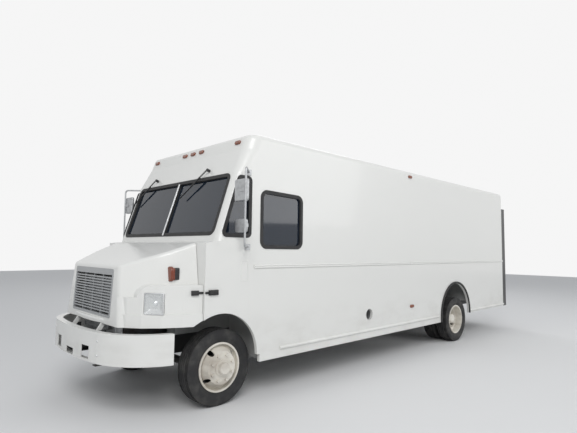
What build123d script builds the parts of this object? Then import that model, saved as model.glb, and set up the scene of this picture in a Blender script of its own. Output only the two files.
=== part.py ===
from build123d import *
import math
import os

# A walk-in step van with a sloped tilt hood, in millimetres.
# Lengths along the van are measured from the front axle, +X forward, +Y to the driver's left, +Z up,
# and every piece is moved at the end so that the origin is under the middle of the whole van.

# Main sizes
WHEELBASE = 5283.0
FRONT_OVERHANG = 1175.0
REAR_OVERHANG = 2237.0
BODY_WIDTH = 2360.0
WALL = 40.0
SEAM_Z = 2785.0
ROOF_RISE = 180.0
ROOF_Z = SEAM_Z + ROOF_RISE
SKIRT_Z = 412.0
REAR_SKIRT_Z = 480.0
BELT_Z = 1460.0
PANEL_GAP = 6.0
SEAT_GAP = 0.3
PIN_CLEARANCE = 0.05

# Cab front, as three levels of one raked and rounded front
COWL_Z = 1730.0
COWL_X = 165.0
SCREEN_TOP_Z = SEAM_Z - 285.0
SCREEN_TOP_X = -85.0
HEADER_X = -225.0
CAP_FRONT_X = -290.0
PILLAR_R = 90.0
SCREEN_R = 100.0
HEADER_R = 150.0
ROOF_EDGE_R = 80.0
DASH_X = 305.0
SHELF_Z = 1712.0
SHELF_THICK_SHARE = 0.5
CAB_JOINT_X = -270.0

# Wheels and tyres
TYRE_R = 400.0
TYRE_WIDTH = 225.0
RIM_R = 258.0
RIM_WIDTH = 190.0
RIM_WALL = 9.0
FRONT_TRACK = 1894.0
REAR_TRACK = 1835.0
DUAL_SPACING = 265.0
HUB_R = 92.0
NUT_CIRCLE_R = 137.5
NUT_COUNT = 8
NUT_R = 16.5
HAND_HOLES = 4

# Steering
KINGPIN_Y = 800.0
KINGPIN_R = 22.0
STEER_ANGLE = 35.0
SPINDLE_R = 30.0

# Wheel arches
FRONT_ARCH_X = 90.0
FRONT_ARCH_Z = 497.0
FRONT_ARCH_R = 486.0
SKIRT_FRONT_X = -433.0
REAR_ARCH_AHEAD = 62.0
REAR_ARCH_Z = 513.0
REAR_ARCH_R = 556.0
FLARE_WIDTH = 30.0
FLARE_PROUD = 18.0

# Frame and floor
RAIL_SPREAD = 864.0
RAIL_HEIGHT = 230.0
RAIL_FLANGE = 70.0
RAIL_WALL = 8.0
RAIL_TOP_Z = 700.0
RAIL_FRONT_X = 1070.0
FLOOR_TOP_Z = 790.0
HOUSE_TOP_Z = 1115.0
HOUSE_INNER_Y = 600.0
HOUSE_SPARE = 30.0
LOAD_FRONT_X = -1300.0
SHEET = 12.0

# Worked out from the sizes above
HALF_WIDTH = BODY_WIDTH / 2
REAR_AXLE_X = -WHEELBASE
BODY_REAR_X = REAR_AXLE_X - REAR_OVERHANG
REAR_ARCH_X = REAR_AXLE_X + REAR_ARCH_AHEAD
POST_DEPTH = 180.0
POST_REAR_X = BODY_REAR_X - POST_DEPTH
STEP_DEPTH = 150.0
OVERALL_REAR_X = POST_REAR_X - STEP_DEPTH
CENTRE_X = (FRONT_OVERHANG + OVERALL_REAR_X) / 2
AXLE_Z = TYRE_R


def block(x, y, z):
    """A box from its low and high limits along each axis."""
    size = (x[1] - x[0], y[1] - y[0], z[1] - z[0])
    return Pos(sum(x) / 2, sum(y) / 2, sum(z) / 2) * Box(*size)


def both_sides(shape):
    """The shape and its mirror image across the van's middle."""
    return [shape, mirror(shape, about=Plane.XZ)]


def save(node, *shapes):
    """Move the shapes to the van's own origin and write them as one node."""
    solids = [solid for shape in shapes for solid in shape.solids()]
    moved = [solid.moved(Location((-CENTRE_X, 0, 0))) for solid in solids]
    export_step(Compound(children=moved) if len(moved) > 1 else moved[0], f"parts/{node}.step")


def fused(*shapes):
    """All the shapes as one solid."""
    joined = shapes[0]
    for shape in shapes[1:]:
        joined = joined + shape
    return joined


def along_y(face_points, low, high):
    """A prism across the van from (x, z) points, between two values of y."""
    face = make_face(Polyline(*[(x, 0, z) for x, z in face_points], close=True).edges())
    prism = extrude(face, high - low, dir=(0, 1, 0))
    return Pos(0, low, 0) * prism


def arch_cutter(x, z, radius, low_y, high_y):
    """A round wheel arch open to the ground, between two values of y."""
    depth = high_y - low_y
    barrel = Pos(x, (low_y + high_y) / 2, z) * Rot(90, 0, 0) * Cylinder(radius, depth)
    return barrel + block((x - radius, x + radius), (low_y, high_y), (z - 2 * radius, z))


def rounded_plan(front_x, rear_x, half, radius, z):
    """A level section of the body, square behind and rounded at its two front corners."""
    outline = Polyline(
        (rear_x, -half, z), (front_x, -half, z), (front_x, half, z), (rear_x, half, z), close=True
    )
    face = make_face(outline.edges())
    corners = [v for v in face.vertices() if abs(v.X - front_x) < 1]
    return fillet(corners, radius)


def body_volume(inset):
    """The whole body below the roof seam, drawn in by inset from its outer faces."""
    half = HALF_WIDTH - inset
    levels = (
        # front x, corner radius, z
        (COWL_X, PILLAR_R, COWL_Z),
        (SCREEN_TOP_X, SCREEN_R, SCREEN_TOP_Z),
        (HEADER_X, HEADER_R, SEAM_Z),
    )
    faces = [
        rounded_plan(x - inset, BODY_REAR_X, half, radius - inset, z) for x, radius, z in levels
    ]
    upper = loft([faces[0], faces[1]], ruled=True) + loft([faces[1], faces[2]], ruled=True)
    lower = block((BODY_REAR_X, DASH_X - inset), (-half, half), (SKIRT_Z, COWL_Z))
    drop = inset * SHELF_THICK_SHARE
    shelf = along_y(
        ((COWL_X - inset, COWL_Z + 1), (COWL_X - inset, COWL_Z - drop), (DASH_X + 1, SHELF_Z - drop), (DASH_X + 1, COWL_Z + 1)),
        -half - 1, half + 1,
    )
    return upper + (lower - shelf)



# Windows: each outline is a list of corners on its own plane, with one corner radius
WINDOW_R = 75.0
WINDOW_HIGH_Z = SEAM_Z - 473.0
QUARTER_HIGH_Z = SCREEN_TOP_Z - 60.0
SIDE_WINDOW = ((-431.0, 1676.0), (-1078.0, 1676.0), (-1078.0, WINDOW_HIGH_Z - 20), (-431.0, WINDOW_HIGH_Z))
QUARTER_WINDOW = ((105.0, 1795.0), (-262.0, 1795.0), (-262.0, QUARTER_HIGH_Z), (-102.0, QUARTER_HIGH_Z))
QUARTER_R = 38.0
SCREEN_SIDE_MARGIN = 130.0
SCREEN_HALF = HALF_WIDTH - SCREEN_SIDE_MARGIN
SCREEN_LOW_Z = 1812.0
SCREEN_HIGH_Z = SCREEN_TOP_Z - 28.0
SCREEN_CORNER_R = 60.0
DIVIDER_WIDTH = 44.0
SEAL_INSIDE = 22.0
SEAL_LIP = 20.0
SEAL_PROUD = 6.0
GLASS_THICK = 6.0

# Entry door on the right side, which slides back inside the wall
ENTRY_FRONT_X = -520.0
ENTRY_WIDTH = 700.0
ENTRY_LOW_Z = 560.0
ENTRY_HIGH_Z = SEAM_Z - 405.0
ENTRY_THICK = 35.0
ENTRY_LAP = 20.0
ENTRY_TRAVEL = 680.0
ENTRY_TONGUE = 8.0
ENTRY_TONGUE_RISE = 34.0
ENTRY_TRACK_DEPTH = 46.0
ENTRY_TRACK_WALL = 14.0
STEP_TREAD_Z = 480.0
STEP_INNER_Y = HALF_WIDTH - 420.0

# Entry door's pane
ENTRY_PANE_WIDTH = 560.0
ENTRY_PANE_LOW_Z = 1560.0
ENTRY_PANE_HIGH_Z = ENTRY_HIGH_Z - 90.0

# Rear doors
REAR_HINGE_PIN_R = 6.0
REAR_SILL_Z = 575.0
REAR_PANE_WIDTH = 560.0
REAR_PANE_HEIGHT = 480.0
LOCK_ROD_R = 11.0
POST_WIDTH = 92.0
POST_TOP_Z = SEAM_Z - 165.0
REAR_DOOR_THICK = 35.0
REAR_DOOR_LOW_Z = 800.0
REAR_DOOR_HIGH_Z = POST_TOP_Z - 60.0
REAR_PANE_Z = REAR_DOOR_HIGH_Z - 580.0
REAR_OPENING_HALF = HALF_WIDTH - 150.0
REAR_OPENING_TOP_Z = POST_TOP_Z - 120.0
REAR_HINGE_R = 11.0
REAR_HINGE_PROUD = 13.0
REAR_HINGE_END = 180.0
REAR_HINGE_HEIGHTS = (
    REAR_DOOR_LOW_Z + REAR_HINGE_END, (REAR_DOOR_LOW_Z + REAR_DOOR_HIGH_Z) / 2, REAR_DOOR_HIGH_Z - REAR_HINGE_END,
)
REAR_HINGE_LENGTH = 120.0

# Side rails
BELT_RAIL_PROUD = 16.0
BELT_RAIL_DEPTH = 42.0
RUB_RAIL_Z = 520.0
RUB_RAIL_DEPTH = 44.0
RUB_RAIL_PROUD = 20.0

# Fuel filler on the left wall
FILLER_X = -2499.0
FILLER_Z = 741.0
FILLER_R = 78.0

# Hood
HOOD_LOW_Z = 875.0
HOOD_THICK = 14.0
NOSE_X = 983.0
NOSE_LEAN = 0.053
NOSE_CORNER_R = 70.0
NOSE_MID_X = 610.0
NOSE_MID_R = 600.0
NOSE_FRONT_Y = (706.0, 548.0)
NOSE_MID_Y = (1000.0, 860.0)
NOSE_REAR_Y = (1120.0, 986.0)
HOOD_TOP_SPARE_Z = 1800.0
HOOD_REAR_Z = 1712.0
HOOD_SLOPE = 0.37
CREST_R = 45.0
LIP_X = 1015.0
LIP_HALF = 640.0
LIP_Z = (882.0, 926.0)
LIP_R = 18.0
FENDER_TOP_Z = 1285.0
FENDER_PLAN = ((950.0, 640.0), (930.0, 752.0), (830.0, 885.0), (680.0, 1003.0), (500.0, 1095.0), (305.0, 1165.0))
FENDER_LEDGE_Z = 1000.0
FENDER_LEDGE = 12.0
FENDER_FRONT_X = 850.0
FENDER_R = 60.0
FENDER_CROWN_R = 120.0
HOOD_GAP = 6.0
HOOD_PIVOT_X = 1030.0
HOOD_PIVOT_Z = 780.0
HOOD_PIVOT_Y = 330.0
HOOD_TILT = 60.0
HOOD_PIN_R = 12.0

# Grille and lamps
GRILLE_HALF = 515.0
GRILLE_LOW_Z = 942.0
GRILLE_HIGH_Z = 1432.0
GRILLE_R = 26.0
GRILLE_FRAME = 26.0
GRILLE_TOP_BAND = 62.0
GRILLE_DEPTH = 40.0
GRILLE_BARS = 13
GRILLE_BAR = 13.0
GRILLE_UPRIGHTS = 3
GRILLE_UPRIGHT = 10.0
HEADLAMP_X = 738.0
HEADLAMP_Y = 952.0
HEADLAMP_Z = 1108.0
HEADLAMP_WIDTH = 196.0
HEADLAMP_HEIGHT = 212.0
HEADLAMP_TURN = 40.0
TURN_LAMP_X = 580.0
TURN_LAMP_Y = 945.0
TURN_LAMP_Z = 1392.0
TURN_LAMP_LENGTH = 95.0
TURN_LAMP_WIDTH = 100.0
TURN_LAMP_HEIGHT = 152.0

# Bumpers
BUMPER_LOW_Z = 535.0
BUMPER_HIGH_Z = 830.0
BUMPER_SHEET = 8.0
BUMPER_FLANGE = 70.0
BUMPER_ARC = ((1175.0, 0.0), (1128.0, 590.0), (985.0, 890.0), (600.0, 1125.0))
STEP_Z = 560.0
STEP_HEIGHT = 60.0
STEP_HALF = HALF_WIDTH - 180.0

# Engine cover and front wheelhouses
DOGHOUSE_HALF = 380.0
DOGHOUSE_TOP_Z = 1290.0
ENGINE_BAY = 40.0
FRONT_HOUSE_Y = 560.0
FRONT_HOUSE_X = -470.0

# Running gear
BEAM_DROP_Z = 330.0
BEAM_HEIGHT = 62.0
BEAM_DEPTH = 76.0
BEAM_DROP_Y = 560.0
EYE_HEIGHT = 84.0
EYE_R = 40.0
YOKE_HEIGHT = 30.0
SPRING_Y = 478.0
SPRING_WIDTH = 64.0
SPRING_LEAF = 10.0
SPRING_LEAVES = 4
SPRING_HALF = 640.0
SPRING_RISE = 66.0
HANGER_HEIGHT = 70.0
HANGER_HALF = 42.0
EAR_LENGTH = 130.0
AXLE_TUBE_R = 62.0
DIFF_R = 175.0
REAR_SPINDLE_R = 44.0
SHAFT_R = 42.0
DISC_OFFSET = 132.0
DISC_THICK = 11.0
WHEEL_HUB_R = 84.0

FRONT_SPRING_Z = 412.0
REAR_SPRING_Z = 508.0
BRAKE_R = 190.0
RIM_FLANGE = 11.0
RIM_LIP = 10.0
TYRE_SHOULDER = 26.0
DISC_FLAT_R = 168.0
DISC_ROOT_Z = 42.0
HAND_HOLE_START = 37.0
HAND_HOLE_CIRCLE_R = 196.0
HAND_HOLE_R = 28.0
HUB_BACK_Z = -30.0
HUB_FLANGE_R = 112.0
HUB_CAP_R = 62.0
HUB_CAP_LENGTH = 68.0
TOW_HOLE_Y = (292.0, 450.0)
TOW_HOLE_Z = (558.0, 684.0)
NOTCH_HALF = 100.0
NOTCH_Z = (545.0, 612.0)
CROSSMEMBERS = (960.0, -900.0, -2600.0, -4300.0, -6000.0, -7450.0)

# Mirrors
MIRROR_FOOT_X = -226.0
MIRROR_X = 0.0
MIRROR_Y = HALF_WIDTH + 240.0
MIRROR_HEAD_IN = 100.0
MIRROR_TUBE_R = 11.0
MIRROR_TUBE_TOP_Z = SCREEN_TOP_Z
MIRROR_TUBE_LOW_Z = 1675.0
MIRROR_HEADS = (
    # z, width, height, depth
    (MIRROR_TUBE_TOP_Z - 230.0, 205.0, 235.0, 34.0),
    (MIRROR_TUBE_LOW_Z + 220.0, 170.0, 140.0, 40.0),
)

# Lamps on the body, each as across and z
ROOF_LAMP_END_Y = HALF_WIDTH - 235.0
ROOF_LAMP_Z = ROOF_Z - 90.0
ROOF_LAMPS = (-ROOF_LAMP_END_Y, -195.0, 0.0, 195.0, ROOF_LAMP_END_Y)
SIDE_ROOF_LAMP_X = -3630.0
SIDE_ROOF_LAMP_Z = ROOF_Z - 97.0
SIDE_LAMP_X = -3655.0
SIDE_LAMP_Z = 770.0

# Rails' ends
BELT_FRONT_X = -330.0
BELT_SPLIT_X = -3600.0
BELT_SPLIT = 8.0
RUB_FRONT_X = -735.0
RUB_REAR_X = -4560.0

# Fuel filler
FILLER_CUP = 110.0
FILLER_NECK_Z = 655.0

# Cab inside
DRIVER_Y = 520.0
STEERING_X = -205.0
STEERING_Z = 1590.0
STEERING_R = 215.0
STEERING_RIM_R = 15.0
SEAT_X = -470.0
SEAT_Z = 1180.0

# Masses and running gear inside
GEARBOX_LENGTH = 700.0
GEARBOX_HALF = 170.0
SHAFT_FRONT_Z = 540.0
RADIATOR_X = (800.0, 880.0)
RADIATOR_TOP_Z = 1340.0
ENGINE = ((0.0, 740.0), (-320.0, 320.0), (480.0, 1250.0))
TANK = ((-3100.0, -2150.0), (470.0, 900.0), (430.0, 680.0))


def nose_plan(inset, z):
    """The nose's level section at a height: a blunt front and two bent, tapering sides."""
    rear_x = DASH_X + HOOD_GAP
    front_x = NOSE_X - inset - NOSE_LEAN * (z - HOOD_LOW_Z)
    rise = (z - HOOD_LOW_Z) / (HOOD_TOP_SPARE_Z - HOOD_LOW_Z)
    front_y, mid_y, rear_y = (
        low + (high - low) * rise - inset for low, high in (NOSE_FRONT_Y, NOSE_MID_Y, NOSE_REAR_Y)
    )
    half = ((rear_x, rear_y), (NOSE_MID_X, mid_y), (front_x, front_y))
    outline = [(x, y, z) for x, y in half] + [(x, -y, z) for x, y in reversed(half)]
    face = make_face(Polyline(*outline, close=True).edges())
    face = fillet([v for v in face.vertices() if v.X > front_x - 1], NOSE_CORNER_R)
    return fillet([v for v in face.vertices() if abs(v.X - NOSE_MID_X) < 1], NOSE_MID_R)


def hood_volume(inset):
    """The hood's outer form drawn in by inset: a tapered nose under a sloped top, a lip and two fenders."""
    nose = loft([nose_plan(inset, HOOD_LOW_Z), nose_plan(inset, HOOD_TOP_SPARE_Z)], ruled=True)
    start_x = DASH_X - 100
    end_x = NOSE_X + 200
    top_z = HOOD_REAR_Z - inset
    above = along_y(
        (
            (start_x, top_z + HOOD_SLOPE * (DASH_X - start_x)), (end_x, top_z - HOOD_SLOPE * (end_x - DASH_X)),
            (end_x, HOOD_TOP_SPARE_Z + 100), (start_x, HOOD_TOP_SPARE_Z + 100),
        ),
        -HALF_WIDTH, HALF_WIDTH,
    )
    nose = nose - above
    crest = [
        edge for edge in nose.edges()
        if edge.center().Z > top_z - HOOD_SLOPE * (edge.center().X - DASH_X) - 1 and edge.center().X > DASH_X + HOOD_GAP + 1
    ]
    return fillet(crest, CREST_R) + fenders(inset)


def hood_lip():
    """The curved lip below the grille."""
    x = NOSE_X - 30
    corner = FENDER_PLAN[1]
    outline = [
        ThreePointArc((corner[0], -LIP_HALF), (LIP_X, 0), (corner[0], LIP_HALF)),
        Line((corner[0], LIP_HALF), (x - 60, LIP_HALF)),
        Line((x - 60, LIP_HALF), (x - 60, -LIP_HALF)),
        Line((x - 60, -LIP_HALF), (corner[0], -LIP_HALF)),
    ]
    face = make_face(Wire([edge for part in outline for edge in part.edges()]))
    lip = Pos(0, 0, LIP_Z[0]) * extrude(face, LIP_Z[1] - LIP_Z[0], dir=(0, 0, 1))
    top = [e for e in lip.edges() if e.center().Z > LIP_Z[1] - 1 and e.center().X > NOSE_X]
    return fillet(top, LIP_R)


def fenders(inset):
    """The two front fenders, each a low apron and a crowned top set in behind the headlamp's ledge."""
    rear_x = DASH_X + HOOD_GAP

    def plan(step, low, high):
        """A prism of the fender's plan drawn in by step."""
        points = [(x - step, y - step, low) for x, y in FENDER_PLAN]
        points[-1] = (rear_x, FENDER_PLAN[-1][1] - step, low)
        face = make_face(Polyline((rear_x, 0, low), (points[0][0], 0, low), *points, close=True).edges())
        turns = [v for v in face.vertices() if v.Y > 100 and rear_x + 1 < v.X < points[0][0] - 1]
        return extrude(fillet(turns, FENDER_R), high - low, dir=(0, 0, 1))

    apron = plan(inset, HOOD_LOW_Z, FENDER_LEDGE_Z)
    crown = plan(inset + FENDER_LEDGE, FENDER_LEDGE_Z - 1, FENDER_TOP_Z - inset)
    front_x = FENDER_FRONT_X - inset
    turn = FENDER_CROWN_R
    top = FENDER_TOP_Z - inset
    hidden = block((front_x, NOSE_X), (0, HALF_WIDTH), (top - turn, top + 1)) + block(
        (front_x - turn, front_x), (0, HALF_WIDTH), (top - turn, top + 1)
    )
    hidden = hidden - Pos(front_x - turn, HALF_WIDTH / 2, top - turn) * Rot(90, 0, 0) * Cylinder(turn, BODY_WIDTH)
    crown = crown - hidden
    side = apron + crown
    return side + mirror(side, about=Plane.XZ)



def hood_shell():
    """The hood and fenders as one moulded shell, open behind and below, with its lamp and grille openings."""
    rear_x = DASH_X + HOOD_GAP
    inside = hood_volume(HOOD_THICK) + block((rear_x - 1, rear_x + 1), (-900, 900), (HOOD_LOW_Z, 1500))
    shell = hood_volume(0) - inside
    for side in (1, -1):
        shell = shell - arch_cutter(
            FRONT_ARCH_X, FRONT_ARCH_Z, FRONT_ARCH_R, min(side * 600, side * 1200), max(side * 600, side * 1200)
        )
    shell = shell + (hood_lip() - block((0, NOSE_X - HOOD_THICK), (-HALF_WIDTH, HALF_WIDTH), (0, ROOF_Z)))
    shell = shell - grille_block(60, 260, SEAT_GAP)
    for lamp in both_sides(headlamp_block(SEAT_GAP, 120)):
        shell = shell - lamp
    for arm in both_sides(hood_arm()):
        shell = shell + arm
    return max(shell.solids(), key=lambda solid: solid.volume)


def hood_arm():
    """One hinge arm from the nose's inside down to its pivot eye."""
    thick = 14.0
    web = along_y(
        ((HOOD_PIVOT_X - 20, HOOD_PIVOT_Z - 8), (HOOD_PIVOT_X + 20, HOOD_PIVOT_Z + 8), (985, 885), (975, 930), (930, 930), (930, 885)),
        HOOD_PIVOT_Y - thick / 2, HOOD_PIVOT_Y + thick / 2,
    )
    eye = Pos(HOOD_PIVOT_X, HOOD_PIVOT_Y, HOOD_PIVOT_Z) * Rot(90, 0, 0) * Cylinder(HOOD_PIN_R * 2.2, thick)
    hole = Pos(HOOD_PIVOT_X, HOOD_PIVOT_Y, HOOD_PIVOT_Z) * Rot(90, 0, 0) * Cylinder(HOOD_PIN_R + PIN_CLEARANCE, 80)
    return web + eye - hole


def grille_plane(out):
    """The leaning plane of the grille, moved out along its own normal."""
    mid_z = (GRILLE_LOW_Z + GRILLE_HIGH_Z) / 2
    x = NOSE_X - NOSE_LEAN * (mid_z - HOOD_LOW_Z)
    lean = math.atan(NOSE_LEAN)
    normal = (math.cos(lean), 0, math.sin(lean))
    plane = Plane(origin=(x, 0, mid_z), x_dir=(0, 1, 0), z_dir=normal)
    return plane.offset(out)


def grille_block(front, depth, grow):
    """A rounded slab of the grille's outline, its face at front and its depth behind that."""
    width = 2 * GRILLE_HALF + 2 * grow
    height = GRILLE_HIGH_Z - GRILLE_LOW_Z + 2 * grow
    outline = grille_plane(front) * RectangleRounded(width, height, GRILLE_R + grow)
    return extrude(outline, -depth)


def grille():
    """The grille: a rounded frame with level bars and a few uprights, as one moulding."""
    height = GRILLE_HIGH_Z - GRILLE_LOW_Z
    open_height = height - GRILLE_FRAME - GRILLE_TOP_BAND
    open_width = 2 * GRILLE_HALF - 2 * GRILLE_FRAME
    shift = (GRILLE_FRAME - GRILLE_TOP_BAND) / 2
    hole = grille_plane(10) * Pos(0, shift) * Rectangle(open_width, open_height)
    frame = grille_block(4, GRILLE_DEPTH, 0) - extrude(hole, -200)
    pitch = open_height / (GRILLE_BARS + 1)
    for index in range(GRILLE_BARS):
        level = shift - open_height / 2 + pitch * (index + 1)
        bar = grille_plane(0) * Pos(0, level) * Rectangle(open_width + 2, GRILLE_BAR)
        frame = frame + extrude(bar, -GRILLE_DEPTH * 0.6)
    for index in range(GRILLE_UPRIGHTS):
        across = open_width * ((index + 1) / (GRILLE_UPRIGHTS + 1) - 0.5)
        upright = grille_plane(-6) * Pos(across, shift) * Rectangle(GRILLE_UPRIGHT, open_height + 2)
        frame = frame + extrude(upright, -GRILLE_DEPTH * 0.6)
    return frame


def headlamp_plane():
    """The plane of the left headlamp's lens, facing forward and out."""
    turn = math.radians(HEADLAMP_TURN)
    return Plane(
        origin=(HEADLAMP_X, HEADLAMP_Y, HEADLAMP_Z), x_dir=(-math.sin(turn), math.cos(turn), 0),
        z_dir=(math.cos(turn), math.sin(turn), 0),
    )


def headlamp_block(grow, depth):
    """A rounded slab of the headlamp's outline, reaching out and in from its lens plane."""
    outline = RectangleRounded(HEADLAMP_WIDTH + 2 * grow, HEADLAMP_HEIGHT + 2 * grow, 14 + grow)
    return extrude(headlamp_plane() * outline, depth) + extrude(headlamp_plane() * outline, -depth)


def headlamp():
    """The left headlamp: a lens block with a shallow body behind it."""
    lens = extrude(headlamp_plane() * RectangleRounded(HEADLAMP_WIDTH, HEADLAMP_HEIGHT, 14), -60)
    return lens


def window_pieces(plane, corners, radius, split=0.0):
    """The cutter, rubber seal and panes of one window, from its corners on a plane at the wall's outer face."""
    face = fillet(make_face(Polyline(*corners, close=True).edges()).vertices(), radius)
    lip = offset(face, SEAL_LIP)
    sight = offset(face, -SEAL_INSIDE)
    depth = WALL + SEAL_PROUD
    cutter = extrude(plane * face, 3 * WALL) + extrude(plane * face, -3 * WALL)
    seal = extrude(plane * offset(face, -SEAT_GAP), -depth) + extrude(plane * lip, SEAL_PROUD)
    seal = seal - extrude(plane * sight, 3 * WALL) - extrude(plane * sight, -3 * WALL)
    pane = extrude(plane.offset(-WALL / 2) * offset(sight, -SEAT_GAP), -GLASS_THICK)
    return cutter, seal, pane


def side_plane(side):
    """The outer face of a side wall, local x forward and local y up, its normal outwards."""
    if side > 0:
        return Plane(origin=(0, HALF_WIDTH, 0), x_dir=(-1, 0, 0), z_dir=(0, 1, 0))
    return Plane(origin=(0, -HALF_WIDTH, 0), x_dir=(1, 0, 0), z_dir=(0, -1, 0))


def on_side(side, corners):
    """Corners (x, z) in a side plane's own axes."""
    sign = -1 if side > 0 else 1
    return [(sign * x, z) for x, z in corners]


def screen_plane():
    """The windshield's raked plane at the cab's outer face, local x across and local y up the slope."""
    run = SCREEN_TOP_X - COWL_X
    rise = SCREEN_TOP_Z - COWL_Z
    length = math.hypot(run, rise)
    return Plane(origin=(COWL_X, 0, COWL_Z), x_dir=(0, 1, 0), z_dir=(rise / length, 0, -run / length))


def screen_corners():
    """The windshield opening's corners in its own plane."""
    run = SCREEN_TOP_X - COWL_X
    rise = SCREEN_TOP_Z - COWL_Z
    stretch = math.hypot(run, rise) / rise
    low = (SCREEN_LOW_Z - COWL_Z) * stretch
    high = (SCREEN_HIGH_Z - COWL_Z) * stretch
    return ((-SCREEN_HALF, low), (SCREEN_HALF, low), (SCREEN_HALF, high), (-SCREEN_HALF, high))


def windshield():
    """The windshield's cutter, seal with its centre divider, and two panes."""
    cutter, seal, pane = window_pieces(screen_plane(), screen_corners(), SCREEN_CORNER_R)
    corners = screen_corners()
    low = corners[0][1]
    high = corners[2][1]
    bar = screen_plane().offset(SEAL_PROUD) * Pos(0, (low + high) / 2) * Rectangle(DIVIDER_WIDTH, high - low - 20)
    divider = extrude(bar, -WALL)
    gap = screen_plane().offset(SEAL_PROUD) * Pos(0, (low + high) / 2) * Rectangle(DIVIDER_WIDTH + 2 * SEAT_GAP, high)
    panes = pane - extrude(gap, -3 * WALL)
    return cutter, seal + divider, panes



def body_shell():
    """The walls of the body below the roof seam, one wall thick, open above and below."""
    return body_volume(0) - body_volume(WALL)


def window_set():
    """All fixed windows of the body: cutters, seals and panes, each as a list."""
    found = [windshield()]
    for side in (1, -1):
        found.append(window_pieces(side_plane(side), on_side(side, QUARTER_WINDOW), QUARTER_R))
    found.append(window_pieces(side_plane(1), on_side(1, SIDE_WINDOW), WINDOW_R))
    return found


def cab_front(shell, cutters):
    """The cab's front: cowl, firewall, pillars, header and the side panels as far as the body joint."""
    keep = block((CAB_JOINT_X, DASH_X), (-HALF_WIDTH, HALF_WIDTH), (FLOOR_TOP_Z + PANEL_GAP, SEAM_Z))
    front = shell & keep
    front = front - arch_cutter(FRONT_ARCH_X, FRONT_ARCH_Z, FRONT_ARCH_R, -HALF_WIDTH, HALF_WIDTH)
    front = front - block((DASH_X - WALL - 1, DASH_X), (-DOGHOUSE_HALF, DOGHOUSE_HALF), (0, DOGHOUSE_TOP_Z))
    for cutter in cutters:
        front = front - cutter
    return front


def side_wall(shell, side, cutters):
    """One side of the load space, from the cab joint to the rear, with its arches, windows and doorway."""
    low_y, high_y = (0, HALF_WIDTH) if side > 0 else (-HALF_WIDTH, 0)
    wall = shell & block((BODY_REAR_X, CAB_JOINT_X - SEAT_GAP), (low_y, high_y), (SKIRT_Z, SEAM_Z))
    wall = wall - arch_cutter(FRONT_ARCH_X, FRONT_ARCH_Z, FRONT_ARCH_R, low_y, high_y)
    wall = wall - arch_cutter(REAR_ARCH_X, REAR_ARCH_Z, REAR_ARCH_R, low_y, high_y)
    wall = wall - block((BODY_REAR_X, REAR_ARCH_X), (low_y, high_y), (0, REAR_SKIRT_Z))
    wall = wall - block((SKIRT_FRONT_X, 0), (low_y, high_y), (0, FRONT_ARCH_Z))
    for cutter in cutters:
        wall = wall - cutter
    if side > 0:
        return [wall]
    return [*wall_panels(wall), entry_track()]


def wall_panels(wall):
    """The right wall parted at its door posts and rear arch, into panels that meet face to face."""
    rear_arch = (REAR_ARCH_X - REAR_ARCH_R, REAR_ARCH_X + REAR_ARCH_R)
    parts_x = (
        BODY_REAR_X, rear_arch[0], rear_arch[1], ENTRY_FRONT_X - ENTRY_WIDTH, ENTRY_FRONT_X, CAB_JOINT_X,
    )
    panels = []
    for low, high in zip(parts_x, parts_x[1:]):
        panel = wall & block((low, high), (-HALF_WIDTH - 1, 0), (0, SEAM_Z))
        panels += panel.solids()
    return panels


def entry_cutter():
    """The doorway through the right wall."""
    rear = ENTRY_FRONT_X - ENTRY_WIDTH
    return block((rear, ENTRY_FRONT_X), (-HALF_WIDTH - 50, -HALF_WIDTH + 2 * WALL), (ENTRY_LOW_Z, ENTRY_HIGH_Z))


def entry_door():
    """The sliding entry door, standing inside the right wall and lapping its doorway all round, with its window."""
    face_y = -HALF_WIDTH + WALL + PANEL_GAP
    rear = ENTRY_FRONT_X - ENTRY_WIDTH - ENTRY_LAP
    front = ENTRY_FRONT_X + ENTRY_LAP
    door = block((rear, front), (face_y, face_y + ENTRY_THICK), (ENTRY_LOW_Z - ENTRY_LAP, ENTRY_HIGH_Z + ENTRY_LAP))
    middle = (rear + front) / 2
    outline = Pos(middle, 0, (ENTRY_PANE_LOW_Z + ENTRY_PANE_HIGH_Z) / 2) * Rot(90, 0, 0) * RectangleRounded(
        ENTRY_PANE_WIDTH, ENTRY_PANE_HIGH_Z - ENTRY_PANE_LOW_Z, 60
    )
    hole = Pos(0, face_y - 50, 0) * extrude(outline, 200, dir=(0, 1, 0))
    inner = Pos(0, face_y + (ENTRY_THICK - GLASS_THICK) / 2, 0) * extrude(
        offset(outline, -SEAT_GAP), GLASS_THICK, dir=(0, 1, 0)
    )
    tongue_y = face_y + ENTRY_THICK / 2
    top = ENTRY_HIGH_Z + ENTRY_LAP
    for middle in (rear + 90, front - 90):
        door = door + block(
            (middle - 60, middle + 60), (tongue_y - ENTRY_TONGUE / 2, tongue_y + ENTRY_TONGUE / 2),
            (top - 5, top + ENTRY_TONGUE_RISE),
        )
    return door - hole, inner


def entry_track():
    """The entry door's upper track on the right wall's inner face, slotted for the door's tongues."""
    inner = -HALF_WIDTH + WALL
    tongue_y = inner + PANEL_GAP + ENTRY_THICK / 2
    rear = ENTRY_FRONT_X - ENTRY_WIDTH - ENTRY_LAP - ENTRY_TRAVEL
    front = ENTRY_FRONT_X + ENTRY_LAP
    low = ENTRY_HIGH_Z + ENTRY_LAP + PANEL_GAP
    high = low + ENTRY_TONGUE_RISE
    track = block((rear, front), (inner, inner + ENTRY_TRACK_DEPTH), (low, high + ENTRY_TRACK_WALL))
    half = ENTRY_TONGUE / 2 + PIN_CLEARANCE
    return track - block((rear - 1, front + 1), (tongue_y - half, tongue_y + half), (low - 1, high))


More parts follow.
